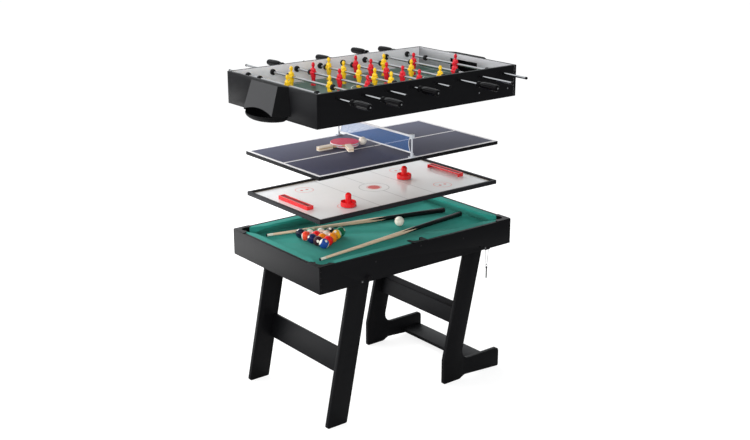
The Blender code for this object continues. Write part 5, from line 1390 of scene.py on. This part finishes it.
class GAMETABLE_OT_football_box(bpy.types.Operator):
    """Make the football box: walls, rod bushes, field, screws and goal hoods"""

    bl_idname = "game_table.football_box"
    bl_label = "Football box"

    def execute(self, context):
        edge = sizes().board_edge
        holes = [circle(rod_x(index), ROD_HEIGHT, 0.0095, 28) for index in range(len(RODS))]
        for name, side in FRONT_AND_BACK:
            shape = bmesh.new()
            faces = sorted((side * INNER_Y, side * OUTER_Y))
            plate(shape, rectangle(GAP - INNER_X, INNER_X - GAP, BOX_BOTTOM, BOX_TOP), *faces, "XZ", holes)
            shape.normal_update()
            bmesh.ops.recalc_face_normals(shape, faces=shape.faces)
            paint(shape, 1, lambda c, n: n.y * side < -0.9)
            piece(f"wall_{name}", shape, [board_foil(), inner_foil()], "football_box", [f"box_{name}"], edge)
            piece(f"bushes_{name}", self.bushes(side), [dark_rubber(), matt_plastic()], "football_box")
        for name, side in LEFT_AND_RIGHT:
            node = f"box_{name}_end"
            shape = copy_of(node)
            # The end walls' inner faces take the grey foil at 0.42 of its brightness: painted shade.
            paint(shape, 1, lambda c, n: n.x * side < -0.9)
            piece(f"wall_{name}_end", shape, [board_foil(), inner_foil(0.42)], "football_box", [node], edge)
            self.hood(name, side)
        heads = bmesh.new()
        for x in (0.356, 0.545):
            for side in SIDES:
                screw_head(heads, (x, side * OUTER_Y, BOX_BOTTOM + 0.044), 0.0042, 0.0012, side)
        piece("box_screws", heads, [zinc()], "football_box")
        self.field()
        return {"FINISHED"}

    def bushes(self, side):
        """Return the bushes of one long wall, each a flanged sleeve with a rubber bumper inside."""
        shape = bmesh.new()
        bore = sizes().rod + 0.0006
        bumper = [(bore, INNER_Y - 0.0119), (0.0125, INNER_Y - 0.0119), (0.0148, INNER_Y - 0.0095),
                  (0.0148, INNER_Y - 0.0022), (0.0136, INNER_Y - 0.0001), (bore, INNER_Y - 0.0001)]
        sleeve = [(bore, INNER_Y), (0.0092, INNER_Y), (0.0092, OUTER_Y + 0.0001), (0.0122, OUTER_Y + 0.0001),
                  (0.0118, OUTER_Y + 0.0018), (0.0082, OUTER_Y + 0.0028), (bore, OUTER_Y + 0.0028)]
        for index in range(len(RODS)):
            centre = (rod_x(index), 0.0, ROD_HEIGHT)
            turn_across(shape, bumper, side, 32, centre, ring=True)
            turn_across(shape, sleeve, side, 32, centre, ring=True, slot=1)
        return shape

    def field(self):
        """Make the printed field with its markings."""
        shape = copy_of("football_playfield")
        paint(shape, 1, lambda c, n: n.z < 0.5)
        piece("field_football", shape, [field_print(), raw_board()], "football_box", ["football_playfield"],
              0.0004)
        marks = bmesh.new()
        low = FIELD_TOP + PRINT_LIFT
        wide = sizes().line
        x, y = 0.565, 0.330
        for side in SIDES:
            line_mark(marks, side * x, side * (x - wide), -y, y, low)
            line_mark(marks, wide - x, x - wide, side * y, side * (y - wide), low)
            for reach, half in ((0.175, 0.200), (0.075, 0.120)):
                inner, begin, end = side * (x - reach), side * (x - reach + wide), side * (x - wide)
                line_mark(marks, inner, begin, -half, half, low)
                for turn in SIDES:
                    line_mark(marks, begin, end, turn * half, turn * (half - wide), low)
            spot_mark(marks, side * (x - 0.125), 0.0, 0.006, 24, low)
            bow_mark(marks, side, x - 0.175, 0.045, 0.075, wide, 20, low)
        # The halfway line, which stops at the ring and at the spot
        for begin, end in ((-y + wide, -0.112), (0.112, y - wide), (-0.108 + wide, -0.012),
                           (0.012, 0.108 - wide)):
            line_mark(marks, -wide / 2, wide / 2, begin, end, low)
        ring_mark(marks, 0.0, 0.0, 0.110, wide, low, facets=72)
        spot_mark(marks, 0.0, 0.0, 0.009, 32, low)
        piece("field_lines", marks, [ink("ink_printed_white", "dfe6e2")], "football_box")

    def ring(self, width, depth, roundness, height, inset, back):
        """Return one level of a hood: from a flat front with slanted sides to a half ellipse."""
        half = width / 2 - inset
        ring = []
        for step in range(41):
            angle = math.pi * step / 40
            flat = min(1.0, (1.0 - abs(math.cos(angle))) / (1.0 - math.cos(math.pi / 4)))
            out = (depth - inset) * (flat + (math.sin(angle) - flat) * roundness)
            if step in (0, 40):
                out = back
            ring.append(Vector((INNER_X + WALL + GAP + out, -half * math.cos(angle), height)))
        return ring

    def rings(self, inset, back):
        """Return a hood's levels, from its flat top to the bottom of its bowl."""
        rim, bottom, steps = 0.139, 0.172, 8
        rings = [self.ring(0.304, 0.028, 0.0, BOX_TOP - inset, inset, back),
                 self.ring(0.330, 0.070, 0.0, BOX_TOP - 0.128, inset, back)]
        for step in range(steps + 1):
            angle = math.pi / 2 * step / steps
            share = 0.38 + 0.62 * math.cos(angle)
            height = BOX_TOP - rim - (bottom - inset - rim) * math.sin(angle)
            behind = back if height > BOX_BOTTOM + 0.005 else inset
            rings.append(self.ring(0.270 * share, 0.106 * share, 1.0, height, inset, behind))
        return rings

    def hood(self, name, side):
        """Make a goal hood: a thin moulding with a lens opening above its ball bowl."""
        shells = []
        for inset, back in ((0.0, 0.0), (0.003, -0.004)):
            shells.append(bmesh.new())
            loft(shells[-1], self.rings(inset, back))
        half, rise, begin = 0.111, 0.018, INNER_X + WALL + 0.028
        shares = [1 - 2 * step / 32 for step in range(33)]
        arch = [(half * share, BOX_TOP - 0.128 + rise * (1 - share ** 2)) for share in shares]
        lens = bmesh.new()
        plate(lens, [(-half, BOX_TOP - 0.138), (half, BOX_TOP - 0.138)] + arch, begin, begin + 0.106, "YZ")
        shell = cut(cut(*shells), lens)
        bmesh.ops.transform(shell, verts=shell.verts, matrix=Matrix.Scale(side, 4, (1.0, 0.0, 0.0)))
        shell.normal_update()
        # The sides and bowls take the near black copy as painted shade, and the front panels keep the
        # lighter, glossier copy as painted light.
        paint(shell, 1, lambda c, n: abs(n.x) < 0.80 or c.z < BOX_TOP - 0.132)
        piece(f"hood_{name}", shell, [hood_front_lit_plastic(), hood_side_shade_plastic()], "football_box", [f"goal_hood_{name}"],
              0.0008, 30.0, 2)


class GAMETABLE_OT_rods(bpy.types.Operator):
    """Make the eight football rods with their handles, rings, caps and men"""

    bl_idname = "game_table.rods"
    bl_label = "Rods and men"

    def execute(self, context):
        own = sizes()
        grip = self.grip()
        men = {True: self.man(True), False: self.man(False)}
        rim = INNER_Y - BUMPER_LENGTH - GAP
        for index, (name, side, count, share) in enumerate(RODS):
            spindle = f"{name}_spindle"
            offsets = [(place - (count - 1) / 2) * MEN_SPACING[count] for place in range(count)]
            near = max(offsets) + MAN_HALF_WIDTH + GAP
            if count == 1:
                near = rim - KEEPER_TRAVEL - STOP_RING_LENGTH
            travel = rim - near - STOP_RING_LENGTH
            centre = Vector((rod_x(index), -share * travel, ROD_HEIGHT))
            begin = OUTER_Y + travel + HANDLE_CLEARANCE
            end = OUTER_Y + travel + END_CLEARANCE
            hidden = -begin - ROD_IN_HANDLE
            shape = bmesh.new()
            bar = [(0.0, hidden), (own.rod, hidden), (own.rod, end), (0.0, end)]
            turn_across(shape, bar, side, 28, centre)
            for first in (-near - STOP_RING_LENGTH, near):
                last = first + STOP_RING_LENGTH
                ring = [(own.rod, first), (STOP_RING_RADIUS, first), (STOP_RING_RADIUS, last),
                        (own.rod, last)]
                turn_across(shape, rounded_profile(ring, 0.0016, 3), side, 32, centre, ring=True, slot=1)
                turning(shape, [(0.0, 0.0), (0.0018, 0.0), (0.0018, 0.0144), (0.0, 0.0144)], 12,
                        centre + Vector((0.0, side * (first + last) / 2, 0.0)), "Z", slot=2)
            piece(f"{name}_bar", shape, [chrome(), dark_rubber(), zinc()], spindle, [f"{name}_rod"])
            facing = Matrix.Rotation(0.0 if side > 0 else math.pi, 4, "Z")
            seat = Matrix.Translation(centre + Vector((0.0, -side * begin, 0.0)))
            mesh_piece(f"{name}_grip", grip, [gloss_plastic(), chrome()], spindle, matrix=seat @ facing)
            for place, offset in enumerate(offsets, 1):
                seat = Matrix.Translation(centre + Vector((0.0, offset, 0.0)))
                mesh_piece(f"{name}_man_{place}", men[side < 0], [team_plastic(side < 0)], spindle,
                           matrix=seat @ facing)
            cap = bmesh.new()
            foot = end + GAP
            profile = [(0.0, foot), (0.0067, foot), (0.0067, foot + 0.0055), (0.0052, foot + 0.0078),
                       (0.0, foot + 0.0079)]
            turn_across(cap, rounded_profile(profile, 0.001, 3), side, 32, centre)
            piece(f"{name}_end_cap", cap, [matt_plastic()], f"{name}_carriage", [f"{name}_cap"])
        return {"FINISHED"}

    def grip(self):
        """Return the handle's mesh: a collar, a neck, a fluted grip and a bright screw in its end."""
        own = sizes()
        length = own.grip_length
        shares = [(0.0, 0.55), (0.012, 0.74), (0.02, 0.80), (0.095, 0.80), (0.105, 0.76), (0.135, 0.56),
                  (0.165, 0.55), (0.19, 0.62), (0.215, 0.76), (0.25, 0.83), (0.30, 0.90), (0.38, 0.985),
                  (0.46, 0.99), (0.56, 0.985), (0.66, 0.97), (0.76, 0.94), (0.84, 0.905), (0.90, 0.87),
                  (0.94, 0.83), (0.975, 0.76), (0.995, 0.66), (1.0, 0.58)]
        profile = [(own.grip * share, -length * along) for along, share in shares]
        profile = [(0.0, 0.0)] + profile + [(0.0, -length)]
        shape = bmesh.new()

        def flute(angle, height):
            along = -height / length
            depth = 0.075 * max(0.0, min(1.0, (along - 0.24) / 0.05, (0.95 - along) / 0.05))
            return 1.0 - depth * (0.5 - 0.5 * math.cos(own.flutes * angle))

        turning(shape, profile, own.flutes * 6, axis="Y", wobble=flute)
        screw = [(0.0, 0.0005), (0.0042, 0.0005), (0.0042, -0.0008), (0.0030, -0.0019), (0.0, -0.0019)]
        turning(shape, screw, 24, (0.0, -length, 0.0), "Y", slot=1)
        return mesh_of("grip", shape)

    def man(self, red):
        """Return a man's mesh about the rod: block feet, legs, shirt, arms and head."""
        shape = bmesh.new()

        def level(height, depth, width, x=0.0, y=0.0, soft=0.75):
            points = []
            for step in range(20):
                angle = math.tau * step / 20
                u, v = math.cos(angle), math.sin(angle)
                points.append(Vector((x + depth * math.copysign(abs(u) ** soft, u),
                                      y + width * math.copysign(abs(v) ** soft, v), height)))
            return points

        # Height from the rod, half depth, half width and offset of each level, from the feet to the neck
        body = ((-0.0620, 0.0098, 0.0118, 0.0), (-0.0612, 0.0106, 0.0128, 0.0),
                (-0.0545, 0.0106, 0.0128, 0.0), (-0.0520, 0.0096, 0.0120, 0.0),
                (-0.0480, 0.0072, 0.0106, -0.0004), (-0.0400, 0.0068, 0.0103, -0.0004),
                (-0.0300, 0.0074, 0.0115, 0.0), (-0.0235, 0.0079, 0.0125, 0.0),
                (-0.0225, 0.0093, 0.0139, 0.0), (-0.0120, 0.0096, 0.0142, 0.0),
                (-0.0060, 0.0091, 0.0137, 0.0), (0.0, 0.0089, 0.0134, 0.0), (0.0090, 0.0096, 0.0142, 0.0),
                (0.0160, 0.0098, 0.0149, 0.0), (0.0205, 0.0089, 0.0144, 0.0), (0.0236, 0.0065, 0.0098, 0.0),
                (0.0252, 0.0046, 0.0060, 0.0), (0.0290, 0.0043, 0.0053, 0.0))
        arm = ((0.0200, 0.0024, 0.0017, 0.0), (0.0190, 0.0041, 0.0031, 0.0), (0.0070, 0.0040, 0.0029, 0.0),
               (-0.0040, 0.0035, 0.0026, 0.0010), (-0.0120, 0.0032, 0.0025, 0.0019),
               (-0.0150, 0.0022, 0.0017, 0.0022))
        loft(shape, [level(*row) for row in body])
        for side in SIDES:
            loft(shape, [level(*row, side * 0.0142, 1.0) for row in arm])
        hub = [(0.0, -0.0154), (0.0100, -0.0154), (0.0104, -0.0142), (0.0104, 0.0142), (0.0100, 0.0154),
               (0.0, 0.0154)]
        turning(shape, hub, 24, axis="Y")
        middle, high = 0.0388, 0.0130
        rings = []
        for step in range(1, 14):
            angle = math.pi * step / 14
            reach = math.sin(angle) ** 0.9 * (1.0 - 0.16 * max(0.0, math.cos(angle)))
            height = middle - high * math.cos(angle)
            rings.append(level(height, 0.0084 * reach, 0.0080 * reach, 0.0002, 0.0, 0.95))
        loft(shape, rings)
        # A small bump in place of a nose shows which way a man looks
        for vertex in shape.verts:
            x, y, z = vertex.co
            if x > 0.0060 and abs(y) < 0.0020 and 0.0350 < z < 0.0400:
                vertex.co.x += 0.0014
        return mesh_of("man_red" if red else "man_yellow", shape)


OPERATORS = (GAMETABLE_OT_camera, GAMETABLE_OT_lanyard, GAMETABLE_OT_stage, GAMETABLE_OT_aprons,
             GAMETABLE_OT_bed, GAMETABLE_OT_pockets, GAMETABLE_OT_balls, GAMETABLE_OT_cues, GAMETABLE_OT_legs,
             GAMETABLE_OT_hockey, GAMETABLE_OT_tennis, GAMETABLE_OT_football_box, GAMETABLE_OT_rods)


class GAMETABLE_PT_pieces(bpy.types.Panel):
    """The game table's pieces"""

    bl_idname = "GAMETABLE_PT_pieces"
    bl_label = "Game Table"
    bl_space_type = "VIEW_3D"
    bl_region_type = "UI"
    bl_category = "Game Table"

    def draw(self, context):
        for operator in OPERATORS:
            self.layout.operator(operator.bl_idname)


CLASSES = (GameTableSizes, GameTableColours, *OPERATORS, GAMETABLE_PT_pieces)


def register():
    """Add the classes and their settings."""
    for item in CLASSES:
        bpy.utils.register_class(item)
    bpy.types.Scene.game_table_sizes = PointerProperty(type=GameTableSizes)
    bpy.types.Scene.game_table_colours = PointerProperty(type=GameTableColours)


def unregister():
    """Take the classes and their settings away again."""
    del bpy.types.Scene.game_table_colours
    del bpy.types.Scene.game_table_sizes
    for item in reversed(CLASSES):
        bpy.utils.unregister_class(item)


def main():
    """Dress the whole table."""
    register()
    for operator in OPERATORS:
        group, name = operator.bl_idname.split(".")
        getattr(getattr(bpy.ops, group), name)()


if __name__ == "__main__":
    main()
